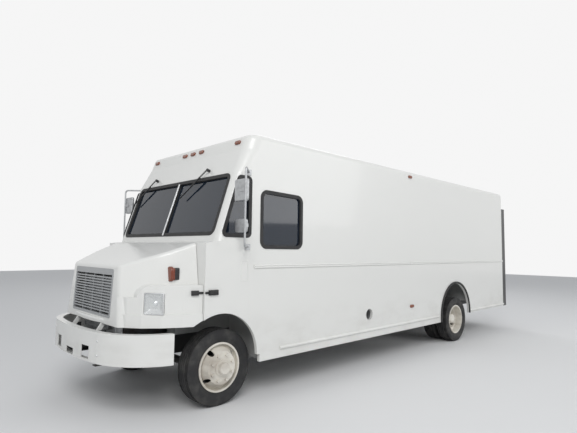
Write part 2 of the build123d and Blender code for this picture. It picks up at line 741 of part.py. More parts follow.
def cap_volume(inset):
    """The roof cap's outer form drawn in by inset: a leaning front, rounded corners and rolled top edges."""
    half = HALF_WIDTH - inset
    rear = BODY_REAR_X + inset
    top = ROOF_Z - inset
    profile = ((rear, SEAM_Z), (HEADER_X - inset, SEAM_Z), (CAP_FRONT_X - inset, top), (rear, top))
    cap = along_y(profile, -half, half)
    corners = [edge for edge in cap.edges() if edge.center().X > CAP_FRONT_X - inset and abs(edge.center().Y) > half - 1]
    corners = [edge for edge in corners if SEAM_Z + 1 < edge.center().Z < top - 1]
    cap = fillet(corners, HEADER_R - inset)
    upper = [edge for edge in cap.edges() if edge.center().Z > top - 1]
    return fillet(upper, ROOF_EDGE_R - inset)


def roof_cap():
    """The roof as one hollow moulding with rolled edges, closed at the rear."""
    return cap_volume(0) - cap_volume(WALL / 2)


def rear_frame():
    """The rear door frame: a jamb, header and sill behind the body, joined to a panel between its walls."""
    rear = BODY_REAR_X - POST_DEPTH + REAR_DOOR_THICK + PANEL_GAP / 2
    post_inner = HALF_WIDTH - POST_WIDTH
    opening = block(
        (rear - 10, BODY_REAR_X + 2 * WALL), (-REAR_OPENING_HALF, REAR_OPENING_HALF),
        (FLOOR_TOP_Z, REAR_OPENING_TOP_Z),
    )
    ring = block((rear, BODY_REAR_X), (-post_inner, post_inner), (REAR_SILL_Z, POST_TOP_Z))
    panel = block((BODY_REAR_X, BODY_REAR_X + WALL), (-HALF_WIDTH + WALL, HALF_WIDTH - WALL), (FLOOR_TOP_Z, SEAM_Z))
    return ring + panel - opening


def rear_posts():
    """The two black corner posts behind the body's rear edges, with a half knuckle of each hinge."""
    post = block((POST_REAR_X, BODY_REAR_X), (HALF_WIDTH - POST_WIDTH, HALF_WIDTH), (REAR_SKIRT_Z, POST_TOP_Z))
    outer = [e for e in post.edges() if e.center().Y > HALF_WIDTH - 1 and e.center().X < POST_REAR_X + 1]
    post = fillet(outer, 12)
    for level in REAR_HINGE_HEIGHTS:
        pin = hinge_knuckle(level - REAR_HINGE_LENGTH, REAR_HINGE_LENGTH)
        leaf = block(
            (rear_hinge_x() + 2, POST_REAR_X + 1), (rear_hinge_y() + 2, rear_hinge_y() + REAR_HINGE_R + 4),
            (level - REAR_HINGE_LENGTH, level),
        )
        post = post + pin + leaf
        post = post + Pos(rear_hinge_x(), rear_hinge_y(), level + REAR_HINGE_LENGTH / 4) * Cylinder(
            REAR_HINGE_PIN_R, REAR_HINGE_LENGTH / 2 + 2
        )
    return post


def rear_hinge_x():
    """The rear hinges' axis along the van."""
    return POST_REAR_X - REAR_HINGE_PROUD


def rear_hinge_y():
    """The left rear hinges' axis across the van."""
    return HALF_WIDTH - POST_WIDTH


def hinge_knuckle(low, length):
    """One knuckle of a left rear hinge, from its low end upwards."""
    return Pos(rear_hinge_x(), rear_hinge_y(), low + length / 2) * Cylinder(REAR_HINGE_R, length)


def rear_door():
    """The left rear door, with its window, lock rod and its half of each hinge."""
    outer_y = HALF_WIDTH - POST_WIDTH - PANEL_GAP
    front = POST_REAR_X + REAR_DOOR_THICK
    door = block((POST_REAR_X, front), (PANEL_GAP / 2, outer_y), (REAR_DOOR_LOW_Z, REAR_DOOR_HIGH_Z))
    middle = (outer_y + PANEL_GAP / 2) / 2
    outline = Pos(0, middle, REAR_PANE_Z) * Rot(0, -90, 0) * RectangleRounded(REAR_PANE_HEIGHT, REAR_PANE_WIDTH, 50)
    hole = Pos(front + 50, 0, 0) * extrude(outline, 300, dir=(-1, 0, 0))
    pane = Pos(front - (REAR_DOOR_THICK - GLASS_THICK) / 2, 0, 0) * extrude(
        offset(outline, -SEAT_GAP), GLASS_THICK, dir=(-1, 0, 0)
    )
    door = door - hole
    for level in REAR_HINGE_HEIGHTS:
        low = level + SEAT_GAP
        door = door + hinge_knuckle(low, REAR_HINGE_LENGTH)
        door = door + block(
            (POST_REAR_X - 4, POST_REAR_X + 1), (outer_y - 90, rear_hinge_y() - 2), (low, low + REAR_HINGE_LENGTH)
        )
        door = door + block(
            (rear_hinge_x(), POST_REAR_X - 1), (rear_hinge_y() - REAR_HINGE_R - 4, rear_hinge_y() - REAR_HINGE_R / 2),
            (low, low + REAR_HINGE_LENGTH),
        )
        door = door - Pos(rear_hinge_x(), rear_hinge_y(), low + REAR_HINGE_LENGTH / 2) * Cylinder(
            REAR_HINGE_PIN_R + PIN_CLEARANCE, REAR_HINGE_LENGTH + 2
        )
    rod = Pos(POST_REAR_X - LOCK_ROD_R - 3, PANEL_GAP / 2 + 70, (REAR_DOOR_LOW_Z + REAR_DOOR_HIGH_Z) / 2) * Cylinder(
        LOCK_ROD_R, REAR_DOOR_HIGH_Z - REAR_DOOR_LOW_Z - 60
    )
    door = door + rod
    third = (REAR_DOOR_HIGH_Z - REAR_DOOR_LOW_Z - 160) / 3
    for level in [REAR_DOOR_LOW_Z + 80 + third * step for step in range(4)]:
        door = door + block((POST_REAR_X - 24, POST_REAR_X + 1), (PANEL_GAP / 2 + 48, PANEL_GAP / 2 + 92), (level, level + 40))
    return door, pane


def wheelhouse(x, edge, top, closed):
    """The plates of the left wheelhouse over a span of x: inner wall, top and end walls."""
    inner = HALF_WIDTH - WALL
    low, high = x
    front = high + SHEET if closed else high
    plates = [
        block((low - SHEET, front), (edge - SHEET, edge), (RAIL_TOP_Z, top - SHEET)),
        block((low - SHEET, front), (edge - SHEET, inner), (top - SHEET, top)),
        block((low - SHEET, low), (edge, inner), (RAIL_TOP_Z, top - SHEET)),
    ]
    if closed:
        plates.append(block((high, front), (edge, inner), (RAIL_TOP_Z, top - SHEET)))
    return plates


def step_well():
    """The plates of the entry step well, hung under the floor."""
    x = (ENTRY_FRONT_X - ENTRY_WIDTH, ENTRY_FRONT_X)
    outer = -HALF_WIDTH + WALL + 2 * PANEL_GAP + ENTRY_THICK
    riser = -STEP_INNER_Y + SHEET
    z = (STEP_TREAD_Z - SHEET, RAIL_TOP_Z)
    return [
        block(x, (outer, -STEP_INNER_Y), (STEP_TREAD_Z - SHEET, STEP_TREAD_Z)),
        block(x, (-STEP_INNER_Y, riser), z),
        block((x[0] - SHEET, x[0]), (outer, riser), z),
        block((x[1], x[1] + SHEET), (outer, riser), z),
    ]


def engine_cover():
    """The plates of the engine cover between the seats."""
    front = DASH_X - WALL
    rear = -ENGINE_BAY
    half = DOGHOUSE_HALF
    z = (FLOOR_TOP_Z, DOGHOUSE_TOP_Z - SHEET)
    side = block((rear, front), (half, half + SHEET), z)
    return [
        block((rear - SHEET, rear), (-half - SHEET, half + SHEET), z),
        block((rear - SHEET, front), (-half - SHEET, half + SHEET), (DOGHOUSE_TOP_Z - SHEET, DOGHOUSE_TOP_Z)),
        *both_sides(side),
    ]


def floor():
    """The floor planks, rear and front wheelhouses, entry step well and engine cover, as plates that meet."""
    inner = HALF_WIDTH - WALL
    z = (RAIL_TOP_Z, FLOOR_TOP_Z)
    back = BODY_REAR_X + WALL + SEAT_GAP
    front = DASH_X - WALL
    cab_x = FRONT_HOUSE_X - SHEET
    house = (REAR_ARCH_X - REAR_ARCH_R - HOUSE_SPARE, REAR_ARCH_X + REAR_ARCH_R + HOUSE_SPARE)
    middle_y = FRONT_HOUSE_Y - SHEET
    side_y = HOUSE_INNER_Y - SHEET
    load_x = house[1] + SHEET
    planks = [
        block((back, LOAD_FRONT_X), (-middle_y, middle_y), z),
        block((LOAD_FRONT_X, -ENGINE_BAY), (-middle_y, middle_y), z),
    ]
    planks += both_sides(block((-ENGINE_BAY, front), (DOGHOUSE_HALF, middle_y), z))
    planks += both_sides(block((back, cab_x), (middle_y, side_y), z))
    planks += both_sides(block((back, house[0] - SHEET), (side_y, inner), z))
    notch_x = (FILLER_X - FILLER_R - HOUSE_SPARE, FILLER_X + FILLER_R + HOUSE_SPARE)
    planks.append(block((load_x, notch_x[0]), (side_y, inner), z))
    planks.append(block(notch_x, (side_y, inner - FILLER_CUP - 2 * PANEL_GAP), z))
    planks.append(block((notch_x[1], cab_x), (side_y, inner), z))
    door_back = ENTRY_FRONT_X - ENTRY_WIDTH - ENTRY_LAP - ENTRY_TRAVEL - 20
    clear_y = inner - 2 * PANEL_GAP - ENTRY_THICK
    well_back = ENTRY_FRONT_X - ENTRY_WIDTH
    planks.append(block((load_x, door_back), (-inner, -side_y), z))
    planks.append(block((door_back, well_back), (-clear_y, -side_y), z))
    planks.append(block((well_back, ENTRY_FRONT_X), (-STEP_INNER_Y, -side_y), z))
    planks.append(block((ENTRY_FRONT_X, cab_x), (-clear_y, -side_y), z))
    houses = wheelhouse(house, HOUSE_INNER_Y, HOUSE_TOP_Z, True)
    houses += wheelhouse((FRONT_HOUSE_X, front), FRONT_HOUSE_Y, FRONT_ARCH_Z + FRONT_ARCH_R + 40, False)
    planks += [plate for left in houses for plate in both_sides(left)]
    return planks + step_well() + engine_cover()


def frame_rails():
    """The two channel rails, their crossmembers and spring hangers, and the hood's hinge ears with their pins."""
    outer_y = RAIL_SPREAD / 2
    low_z = RAIL_TOP_Z - RAIL_HEIGHT
    rail = block((BODY_REAR_X, RAIL_FRONT_X), (outer_y - RAIL_FLANGE, outer_y), (low_z, RAIL_TOP_Z))
    rail = rail - block(
        (BODY_REAR_X - 1, RAIL_FRONT_X + 1), (outer_y - RAIL_FLANGE - 1, outer_y - RAIL_WALL),
        (low_z + RAIL_WALL, RAIL_TOP_Z - RAIL_WALL),
    )
    pieces = [rail]
    for axle_x, seat_z in ((0, FRONT_SPRING_Z), (REAR_AXLE_X, REAR_SPRING_Z)):
        for end in (-1, 1):
            eye_x = axle_x + end * SPRING_HALF
            eye_z = seat_z + SPRING_RISE + SPRING_LEAF
            pieces.append(block(
                (eye_x - HANGER_HALF, eye_x + HANGER_HALF), (outer_y, SPRING_Y + SPRING_WIDTH / 2),
                (eye_z, eye_z + HANGER_HEIGHT),
            ))
    ear_x = (RAIL_FRONT_X - EAR_LENGTH, HOOD_PIVOT_X + 2 * HOOD_PIN_R)
    ear_y = HOOD_PIVOT_Y + 1.5 * PANEL_GAP
    ear = block(ear_x, (ear_y, ear_y + SHEET), (RAIL_TOP_Z, HOOD_PIVOT_Z + 2 * HOOD_PIN_R))
    foot = block(ear_x, (ear_y, outer_y - RAIL_WALL), (RAIL_TOP_Z, RAIL_TOP_Z + RAIL_WALL))
    pin = Pos(HOOD_PIVOT_X, HOOD_PIVOT_Y, HOOD_PIVOT_Z) * Rot(90, 0, 0) * Cylinder(HOOD_PIN_R, 3 * SHEET)
    pieces.append(ear + foot + pin)
    frame = [piece for left in pieces for piece in both_sides(left)]
    web_y = outer_y - RAIL_WALL
    for x in CROSSMEMBERS:
        frame.append(block(
            (x - HANGER_HALF, x + HANGER_HALF), (-web_y, web_y), (RAIL_TOP_Z - RAIL_FLANGE, RAIL_TOP_Z - RAIL_WALL)
        ))
    return frame


def spring_pack(axle_x, seat_z):
    """The left leaf pack of an axle: stacked bowed leaves, each shorter than the one above."""
    pack = None
    for index in range(SPRING_LEAVES):
        half = SPRING_HALF * (1 - 0.2 * index)
        rise = SPRING_RISE * (half / SPRING_HALF) ** 2
        low = seat_z - index * SPRING_LEAF
        profile = [
            ThreePointArc((axle_x - half, 0, low + rise), (axle_x, 0, low), (axle_x + half, 0, low + rise)),
            Line((axle_x + half, 0, low + rise), (axle_x + half, 0, low + rise + SPRING_LEAF)),
            ThreePointArc(
                (axle_x + half, 0, low + rise + SPRING_LEAF), (axle_x, 0, low + SPRING_LEAF),
                (axle_x - half, 0, low + rise + SPRING_LEAF),
            ),
            Line((axle_x - half, 0, low + rise + SPRING_LEAF), (axle_x - half, 0, low + rise)),
        ]
        face = make_face(Wire([edge for part in profile for edge in part.edges()]))
        leaf = Pos(0, SPRING_Y - SPRING_WIDTH / 2, 0) * extrude(face, SPRING_WIDTH, dir=(0, 1, 0))
        pack = leaf if pack is None else pack + leaf
    clamp = block(
        (axle_x - 55, axle_x + 55), (SPRING_Y - SPRING_WIDTH / 2 - 4, SPRING_Y + SPRING_WIDTH / 2 + 4),
        (seat_z - SPRING_LEAVES * SPRING_LEAF + SPRING_LEAF, seat_z + SPRING_LEAF + 8),
    )
    return pack + clamp


def front_axle():
    """The dropped front beam with its two kingpin eyes and spring pads."""
    beam = block((-BEAM_DEPTH / 2, BEAM_DEPTH / 2), (-BEAM_DROP_Y, BEAM_DROP_Y), (BEAM_DROP_Z - BEAM_HEIGHT / 2, BEAM_DROP_Z + BEAM_HEIGHT / 2))
    low = BEAM_DROP_Z - BEAM_HEIGHT / 2
    rise = AXLE_Z - EYE_HEIGHT / 2
    outer = KINGPIN_Y
    arm = make_face(
        Polyline(
            (0, BEAM_DROP_Y - 60, low), (0, outer - EYE_R - 12, rise), (0, outer, rise), (0, outer, rise + EYE_HEIGHT),
            (0, outer - 60, rise + EYE_HEIGHT), (0, BEAM_DROP_Y - 60, low + BEAM_HEIGHT), close=True,
        ).edges()
    )
    arm = Pos(-BEAM_DEPTH / 2 + 8, 0, 0) * extrude(arm, BEAM_DEPTH - 16, dir=(1, 0, 0))
    eye = Pos(0, KINGPIN_Y, AXLE_Z) * Cylinder(EYE_R, EYE_HEIGHT)
    bore = Pos(0, KINGPIN_Y, AXLE_Z) * Cylinder(KINGPIN_R + PIN_CLEARANCE, EYE_HEIGHT + 2)
    pad_top = FRONT_SPRING_Z - SPRING_LEAVES * SPRING_LEAF + SPRING_LEAF
    pad = block(
        (-BEAM_DEPTH / 2 - 12, BEAM_DEPTH / 2 + 12), (SPRING_Y - SPRING_WIDTH / 2 - 4, SPRING_Y + SPRING_WIDTH / 2 + 4),
        (BEAM_DROP_Z + BEAM_HEIGHT / 2 - 5, pad_top),
    )
    axle = beam
    for piece in both_sides(arm + eye + pad):
        axle = axle + piece
    for piece in both_sides(bore):
        axle = axle - piece
    return axle


def rear_axle():
    """The rear axle housing with its round centre, spring pads and wheel spindles."""
    end = REAR_TRACK / 2 + 150
    tube = Pos(REAR_AXLE_X, 0, AXLE_Z) * Rot(90, 0, 0) * Cylinder(AXLE_TUBE_R, 1400)
    spindle = Pos(REAR_AXLE_X, 0, AXLE_Z) * Rot(90, 0, 0) * Cylinder(REAR_SPINDLE_R, 2 * end)
    centre = Pos(REAR_AXLE_X, 0, AXLE_Z) * Rot(0, 90, 0) * Cylinder(DIFF_R, 210)
    nose = Pos(REAR_AXLE_X + 150, 0, AXLE_Z) * Rot(0, 90, 0) * Cone(95, 60, 130)
    centre = fillet(centre.edges(), 40)
    pad_top = REAR_SPRING_Z - SPRING_LEAVES * SPRING_LEAF + SPRING_LEAF
    axle = tube + spindle + centre + nose
    for side in (1, -1):
        ys = sorted((side * (SPRING_Y - SPRING_WIDTH / 2 - 4), side * (SPRING_Y + SPRING_WIDTH / 2 + 4)))
        axle = axle + block((REAR_AXLE_X - 50, REAR_AXLE_X + 50), ys, (AXLE_Z, pad_top))
    return axle


def knuckle():
    """The left steering knuckle: a yoke with its kingpin, a spindle and the fixed brake plate."""
    low_yoke = Pos(0, KINGPIN_Y, AXLE_Z - EYE_HEIGHT / 2 - SEAT_GAP - YOKE_HEIGHT / 2) * Cylinder(EYE_R, YOKE_HEIGHT)
    high_yoke = Pos(0, KINGPIN_Y, AXLE_Z + EYE_HEIGHT / 2 + SEAT_GAP + YOKE_HEIGHT / 2) * Cylinder(EYE_R, YOKE_HEIGHT)
    reach = KINGPIN_Y + EYE_R + 6
    span = EYE_HEIGHT / 2 + SEAT_GAP + YOKE_HEIGHT
    cheek = block((-EYE_R, EYE_R), (reach, reach + 22), (AXLE_Z - span, AXLE_Z + span))
    arms = block((-EYE_R, EYE_R), (KINGPIN_Y, reach + 1), (AXLE_Z - span, AXLE_Z - span + YOKE_HEIGHT)) + block(
        (-EYE_R, EYE_R), (KINGPIN_Y, reach + 1), (AXLE_Z + span - YOKE_HEIGHT, AXLE_Z + span)
    )
    pin = Pos(0, KINGPIN_Y, AXLE_Z) * Cylinder(KINGPIN_R, 2 * span)
    plate_y = reach + 20
    plate = Pos(0, plate_y + 5, AXLE_Z) * Rot(90, 0, 0) * Cylinder(BRAKE_R, 10)
    drum = Pos(0, plate_y + 45, AXLE_Z) * Rot(90, 0, 0) * (Cylinder(BRAKE_R, 80) - Cylinder(BRAKE_R - 14, 82))
    tip = FRONT_TRACK / 2 + DISC_OFFSET + 20
    spindle = Pos(0, (plate_y + tip) / 2, AXLE_Z) * Rot(90, 0, 0) * Cylinder(SPINDLE_R, tip - plate_y)
    return low_yoke + high_yoke + arms + cheek + pin + plate + drum + spindle


def turned(points):
    """A solid turned about +Z from its (radius, z) profile."""
    face = make_face(Polyline(*[(r, 0, z) for r, z in points], close=True).edges())
    return revolve(face, Axis.Z)


def tyre_ring():
    """One tyre about +Z, with rounded shoulders, straight tread and bulged walls."""
    half = TYRE_WIDTH / 2
    bead = RIM_R - RIM_FLANGE + SEAT_GAP
    rim_half = RIM_WIDTH / 2 - RIM_LIP - SEAT_GAP
    flat = half - TYRE_SHOULDER
    outline = [
        Line((bead, 0, -rim_half), (bead, 0, rim_half)),
        Line((bead, 0, rim_half), (RIM_R + 4, 0, rim_half)),
        ThreePointArc((RIM_R + 4, 0, rim_half), ((RIM_R + TYRE_R) / 2, 0, half), (TYRE_R - TYRE_SHOULDER, 0, half - 6)),
        ThreePointArc(
            (TYRE_R - TYRE_SHOULDER, 0, half - 6), (TYRE_R - TYRE_SHOULDER * 0.24, 0, half - TYRE_SHOULDER * 0.45), (TYRE_R, 0, flat),
        ),
        Line((TYRE_R, 0, flat), (TYRE_R, 0, -flat)),
        ThreePointArc(
            (TYRE_R, 0, -flat), (TYRE_R - TYRE_SHOULDER * 0.24, 0, -half + TYRE_SHOULDER * 0.45), (TYRE_R - TYRE_SHOULDER, 0, -half + 6),
        ),
        ThreePointArc((TYRE_R - TYRE_SHOULDER, 0, -half + 6), ((RIM_R + TYRE_R) / 2, 0, -half), (RIM_R + 4, 0, -rim_half)),
        Line((RIM_R + 4, 0, -rim_half), (bead, 0, -rim_half)),
    ]
    face = make_face(Wire([edge for part in outline for edge in part.edges()]))
    return revolve(face, Axis.Z)


def wheel_barrel():
    """One wheel's rim barrel about +Z, with a lip at each side."""
    half = RIM_WIDTH / 2
    seat = RIM_R - RIM_FLANGE
    return turned((
        (seat - RIM_WALL, -half), (RIM_R, -half), (RIM_R, -half + RIM_LIP), (seat, -half + RIM_LIP),
        (seat, half - RIM_LIP), (RIM_R, half - RIM_LIP), (RIM_R, half), (seat - RIM_WALL, half),
    ))


def wheel_disc():
    """One wheel's dished disc about +Z, its mounting face out at DISC_OFFSET, with hand holes."""
    seat = RIM_R - RIM_FLANGE - RIM_WALL + 1
    face_z = DISC_OFFSET
    disc = turned((
        (WHEEL_HUB_R - 2, face_z - DISC_THICK), (DISC_FLAT_R, face_z - DISC_THICK), (seat - 26, DISC_ROOT_Z),
        (seat, DISC_ROOT_Z - 22), (seat, DISC_ROOT_Z), (seat - 22, DISC_ROOT_Z + 15), (DISC_FLAT_R + 4, face_z),
        (WHEEL_HUB_R - 2, face_z),
    ))
    for index in range(HAND_HOLES):
        angle = math.radians(HAND_HOLE_START + 360 / HAND_HOLES * index)
        hole = Pos(HAND_HOLE_CIRCLE_R * math.cos(angle), HAND_HOLE_CIRCLE_R * math.sin(angle), face_z - 40) * Cylinder(HAND_HOLE_R, 160)
        disc = disc - hole
    return disc


def nuts(z, height):
    """The ring of wheel nuts about +Z, from a face at z."""
    ring = []
    for index in range(NUT_COUNT):
        angle = math.radians(360 / NUT_COUNT * (index + 0.5))
        place = Pos(NUT_CIRCLE_R * math.cos(angle), NUT_CIRCLE_R * math.sin(angle), z + height / 2)
        ring.append(place * extrude(RegularPolygon(NUT_R, 6), height / 2, both=True))
    return ring


def front_rim():
    """The left front wheel about +Z outwards: barrel, convex disc, hub with cap, and nuts."""
    hub = turned((
        (SPINDLE_R + PIN_CLEARANCE, HUB_BACK_Z), (HUB_FLANGE_R, HUB_BACK_Z), (HUB_FLANGE_R, DISC_OFFSET - DISC_THICK + 1),
        (WHEEL_HUB_R, DISC_OFFSET - DISC_THICK + 1), (WHEEL_HUB_R, DISC_OFFSET + 12), (HUB_CAP_R, DISC_OFFSET + 16),
        (HUB_CAP_R, DISC_OFFSET + HUB_CAP_LENGTH - 10), (HUB_CAP_R - 10, DISC_OFFSET + HUB_CAP_LENGTH),
        (0, DISC_OFFSET + HUB_CAP_LENGTH), (0, DISC_OFFSET + 24), (SPINDLE_R + PIN_CLEARANCE, DISC_OFFSET + 24),
    ))
    rim = wheel_barrel() + wheel_disc() + hub
    for nut in nuts(DISC_OFFSET - 1, 26):
        rim = rim + nut
    return rim


def rear_rims():
    """The left rear pair about +Z outwards, both discs back to back, with the hub and nuts."""
    half = DUAL_SPACING / 2
    outer = Pos(0, 0, half) * Rot(180, 0, 0) * (wheel_barrel() + wheel_disc())
    inner = Pos(0, 0, -half) * (wheel_barrel() + wheel_disc())
    hub = turned((
        (REAR_SPINDLE_R + PIN_CLEARANCE, -110), (HUB_FLANGE_R, -110), (HUB_FLANGE_R, -8), (WHEEL_HUB_R, -8),
        (WHEEL_HUB_R, 150), (WHEEL_HUB_R - 14, 168), (0, 168), (0, 154), (REAR_SPINDLE_R + PIN_CLEARANCE, 154),
    ))
    rim = outer + inner + hub + turned(((WHEEL_HUB_R - 4, -2), (DISC_FLAT_R - 2, -2), (DISC_FLAT_R - 2, 2), (WHEEL_HUB_R - 4, 2)))
    for nut in nuts(DISC_THICK - 1, 28):
        rim = rim + nut
    return rim


def placed_left(x, y, shape):
    """A wheel piece made about +Z, stood on its left axle end with +Z outwards."""
    return Pos(x, y, AXLE_Z) * Rot(-90, 0, 0) * shape


def bumper_region(inset, low, high):
    """A prism of the front bumper's plan drawn in by inset, reaching back past its ends."""
    centre, corner, sweep, end = BUMPER_ARC
    back = end[0] - 160
    outline = [
        ThreePointArc((corner[0], -corner[1]), centre, corner),
        ThreePointArc(corner, sweep, end),
        Line(end, (back, end[1])),
        Line((back, end[1]), (back, -end[1])),
        Line((back, -end[1]), (end[0], -end[1])),
        ThreePointArc((end[0], -end[1]), (sweep[0], -sweep[1]), (corner[0], -corner[1])),
    ]
    face = make_face(Wire([edge for part in outline for edge in part.edges()]))
    if inset:
        face = offset(face, -inset, kind=Kind.INTERSECTION)
    return Pos(0, 0, low) * extrude(face, high - low, dir=(0, 0, 1))


def front_bumper():
    """The front bumper: a channel bent round the nose, with tow holes, a step notch and rail brackets."""
    outer = bumper_region(0, BUMPER_LOW_Z, BUMPER_HIGH_Z)
    channel = outer - bumper_region(BUMPER_SHEET, BUMPER_LOW_Z + BUMPER_SHEET, BUMPER_HIGH_Z - BUMPER_SHEET)
    channel = channel - bumper_region(BUMPER_FLANGE, BUMPER_LOW_Z - 1, BUMPER_HIGH_Z + 1)
    channel = channel & block((BUMPER_ARC[3][0], FRONT_OVERHANG + 10), (-HALF_WIDTH, HALF_WIDTH), (0, 1000))
    for side in (1, -1):
        ys = sorted((side * TOW_HOLE_Y[0], side * TOW_HOLE_Y[1]))
        channel = channel - block((1000, 1300), ys, TOW_HOLE_Z)
        rail_ys = sorted((side * (RAIL_SPREAD / 2 - RAIL_FLANGE), side * RAIL_SPREAD / 2))
        arm = block((RAIL_FRONT_X, FRONT_OVERHANG), rail_ys, (BUMPER_LOW_Z + 25, RAIL_TOP_Z)) & outer
        hole = block((RAIL_FRONT_X - 1, 1300), (ys[0] - 4, ys[1] + 4), (TOW_HOLE_Z[0] - 4, TOW_HOLE_Z[1] + 4))
        channel = channel + (arm - hole)
    channel = channel - block((1000, 1300), (-NOTCH_HALF, NOTCH_HALF), NOTCH_Z)
    return max(channel.solids(), key=lambda solid: solid.volume)


def rear_bumper():
    """The rear step: a plain tread box on two arms from the frame rails."""
    front = POST_REAR_X - REAR_HINGE_PROUD
    tread = block((OVERALL_REAR_X, front), (-STEP_HALF, STEP_HALF), (STEP_Z - STEP_HEIGHT, STEP_Z))
    for side in (1, -1):
        ys = sorted((side * (RAIL_SPREAD / 2 - RAIL_FLANGE), side * RAIL_SPREAD / 2))
        tread = tread + block((front - 5, BODY_REAR_X), ys, (STEP_Z - STEP_HEIGHT, STEP_Z))
    return tread


def engine_block():
    """The engine as one plain block with its gearbox behind and mounting feet on the rails."""
    (x_low, x_high), (y_low, y_high), (z_low, z_high) = ENGINE
    engine = block((x_low, x_high), (y_low, y_high), (z_low, z_high))
    gearbox = block((x_low - GEARBOX_LENGTH, x_low + 1), (-GEARBOX_HALF, GEARBOX_HALF), (z_low, RAIL_TOP_Z - 100))
    foot = block((x_high - 160, x_high - 60), (y_high - 1, RAIL_SPREAD / 2 - RAIL_WALL), (RAIL_TOP_Z, RAIL_TOP_Z + 30))
    return engine + gearbox + foot + mirror(foot, about=Plane.XZ)


def radiator():
    """The radiator and cooler core in its frame, standing on the rails behind the grille."""
    x_low, x_high = RADIATOR_X
    half = RAIL_SPREAD / 2 - RAIL_WALL
    frame = block((x_low, x_high), (-half, half), (RAIL_TOP_Z, RADIATOR_TOP_Z))
    face = block((x_high - 12, x_high + 1), (-half + 40, half - 40), (RAIL_TOP_Z + 60, RADIATOR_TOP_Z - 50))
    return frame - face


def drive_shaft():
    """The drive shaft from the gearbox to the rear axle's nose."""
    front = Vector(ENGINE[0][0] - GEARBOX_LENGTH - SEAT_GAP, 0, SHAFT_FRONT_Z)
    rear = Vector(REAR_AXLE_X + 216 + SEAT_GAP, 0, AXLE_Z)
    along = rear - front
    tube = extrude(Plane(origin=front, z_dir=along.normalized()) * Circle(SHAFT_R), along.length)
    return tube & block((rear.X, front.X), (-200, 200), (0, 900))


def fuel_tank():
    """The fuel tank hung on the left rail, with its filler neck out through the left wall."""
    (x_low, x_high), (y_low, y_high), (z_low, z_high) = TANK
    tank = fillet(block((x_low, x_high), (y_low, y_high), (z_low, z_high)).edges().filter_by(Axis.X), 40)
    hanger = block((x_low + 150, x_low + 200), (RAIL_SPREAD / 2, y_low + 5), (z_low + 60, z_high - 60))
    hanger = hanger + Pos(x_high - x_low - 350, 0, 0) * hanger
    outer = HALF_WIDTH - WALL
    neck = Pos(FILLER_X, (y_high + outer) / 2, 640) * Rot(90, 0, 0) * Cylinder(32, outer - y_high + 10)
    cup = Pos(FILLER_X, outer - FILLER_CUP / 2 - SEAT_GAP, FILLER_Z) * Rot(90, 0, 0) * (Cylinder(FILLER_R + 14, FILLER_CUP))
    cup = cup - Pos(FILLER_X, outer - (FILLER_CUP - 10) / 2, FILLER_Z) * Rot(90, 0, 0) * Cylinder(FILLER_R, FILLER_CUP - 10)
    neck = Pos(FILLER_X, (y_high + outer - FILLER_CUP) / 2 - 5, FILLER_NECK_Z) * Rot(90, 0, 0) * Cylinder(
        32, outer - FILLER_CUP - y_high + 30
    )
    cap = Pos(FILLER_X, outer - FILLER_CUP + 24, FILLER_Z) * Rot(90, 0, 0) * Cylinder(38, 40)
    return tank + hanger + neck + cup + cap


def filler_hole():
    """The fuel filler's round hole through the left wall."""
    return Pos(FILLER_X, HALF_WIDTH - WALL / 2, FILLER_Z) * Rot(90, 0, 0) * Cylinder(FILLER_R, 3 * WALL)


def rounded_bar(low_x, high_x, z, depth, proud, end_r):
    """A flat-backed bar along the left wall, half round in section and rounded at its front end."""
    rise = proud
    half = depth / 2
    section = make_face(Wire([
        *Line((high_x, HALF_WIDTH, z - half), (high_x, HALF_WIDTH, z + half)).edges(),
        *ThreePointArc(
            (high_x, HALF_WIDTH, z + half), (high_x, HALF_WIDTH + rise, z), (high_x, HALF_WIDTH, z - half)
        ).edges(),
    ]))
    return extrude(section, high_x - low_x, dir=(-1, 0, 0))


def side_rails():
    """The rails along the left wall: a double-beaded belt rail in two lengths and the rub rails below."""
    bars = []
    for low_x, high_x in ((BODY_REAR_X + 6, BELT_SPLIT_X - BELT_SPLIT / 2), (BELT_SPLIT_X + BELT_SPLIT / 2, BELT_FRONT_X)):
        base = block((low_x, high_x), (HALF_WIDTH, HALF_WIDTH + BELT_RAIL_PROUD * 0.4), (BELT_Z - BELT_RAIL_DEPTH / 2, BELT_Z + BELT_RAIL_DEPTH / 2))
        for level in (BELT_Z + BELT_RAIL_DEPTH / 4, BELT_Z - BELT_RAIL_DEPTH / 4):
            base = base + rounded_bar(low_x, high_x, level, BELT_RAIL_DEPTH * 0.46, BELT_RAIL_PROUD, 0)
        bars.append(base)
    bars.append(rounded_bar(RUB_REAR_X, RUB_FRONT_X, RUB_RAIL_Z, RUB_RAIL_DEPTH, RUB_RAIL_PROUD, 0))
    bars.append(rounded_bar(BODY_REAR_X + 6, REAR_ARCH_X - REAR_ARCH_R - 40, RUB_RAIL_Z, RUB_RAIL_DEPTH, RUB_RAIL_PROUD, 0))
    return bars


def wheel_flare():
    """The rubber flare round the left rear arch."""
    ring = arch_cutter(REAR_ARCH_X, REAR_ARCH_Z, REAR_ARCH_R + FLARE_WIDTH, HALF_WIDTH, HALF_WIDTH + FLARE_PROUD)
    hole = arch_cutter(REAR_ARCH_X, REAR_ARCH_Z, REAR_ARCH_R, HALF_WIDTH - 1, HALF_WIDTH + FLARE_PROUD + 1)
    low = block((REAR_ARCH_X - 2000, REAR_ARCH_X), (0, 2000), (-2000, REAR_SKIRT_Z)) + block(
        (REAR_ARCH_X, REAR_ARCH_X + 2000), (0, 2000), (-2000, SKIRT_Z)
    )
    return ring - hole - low


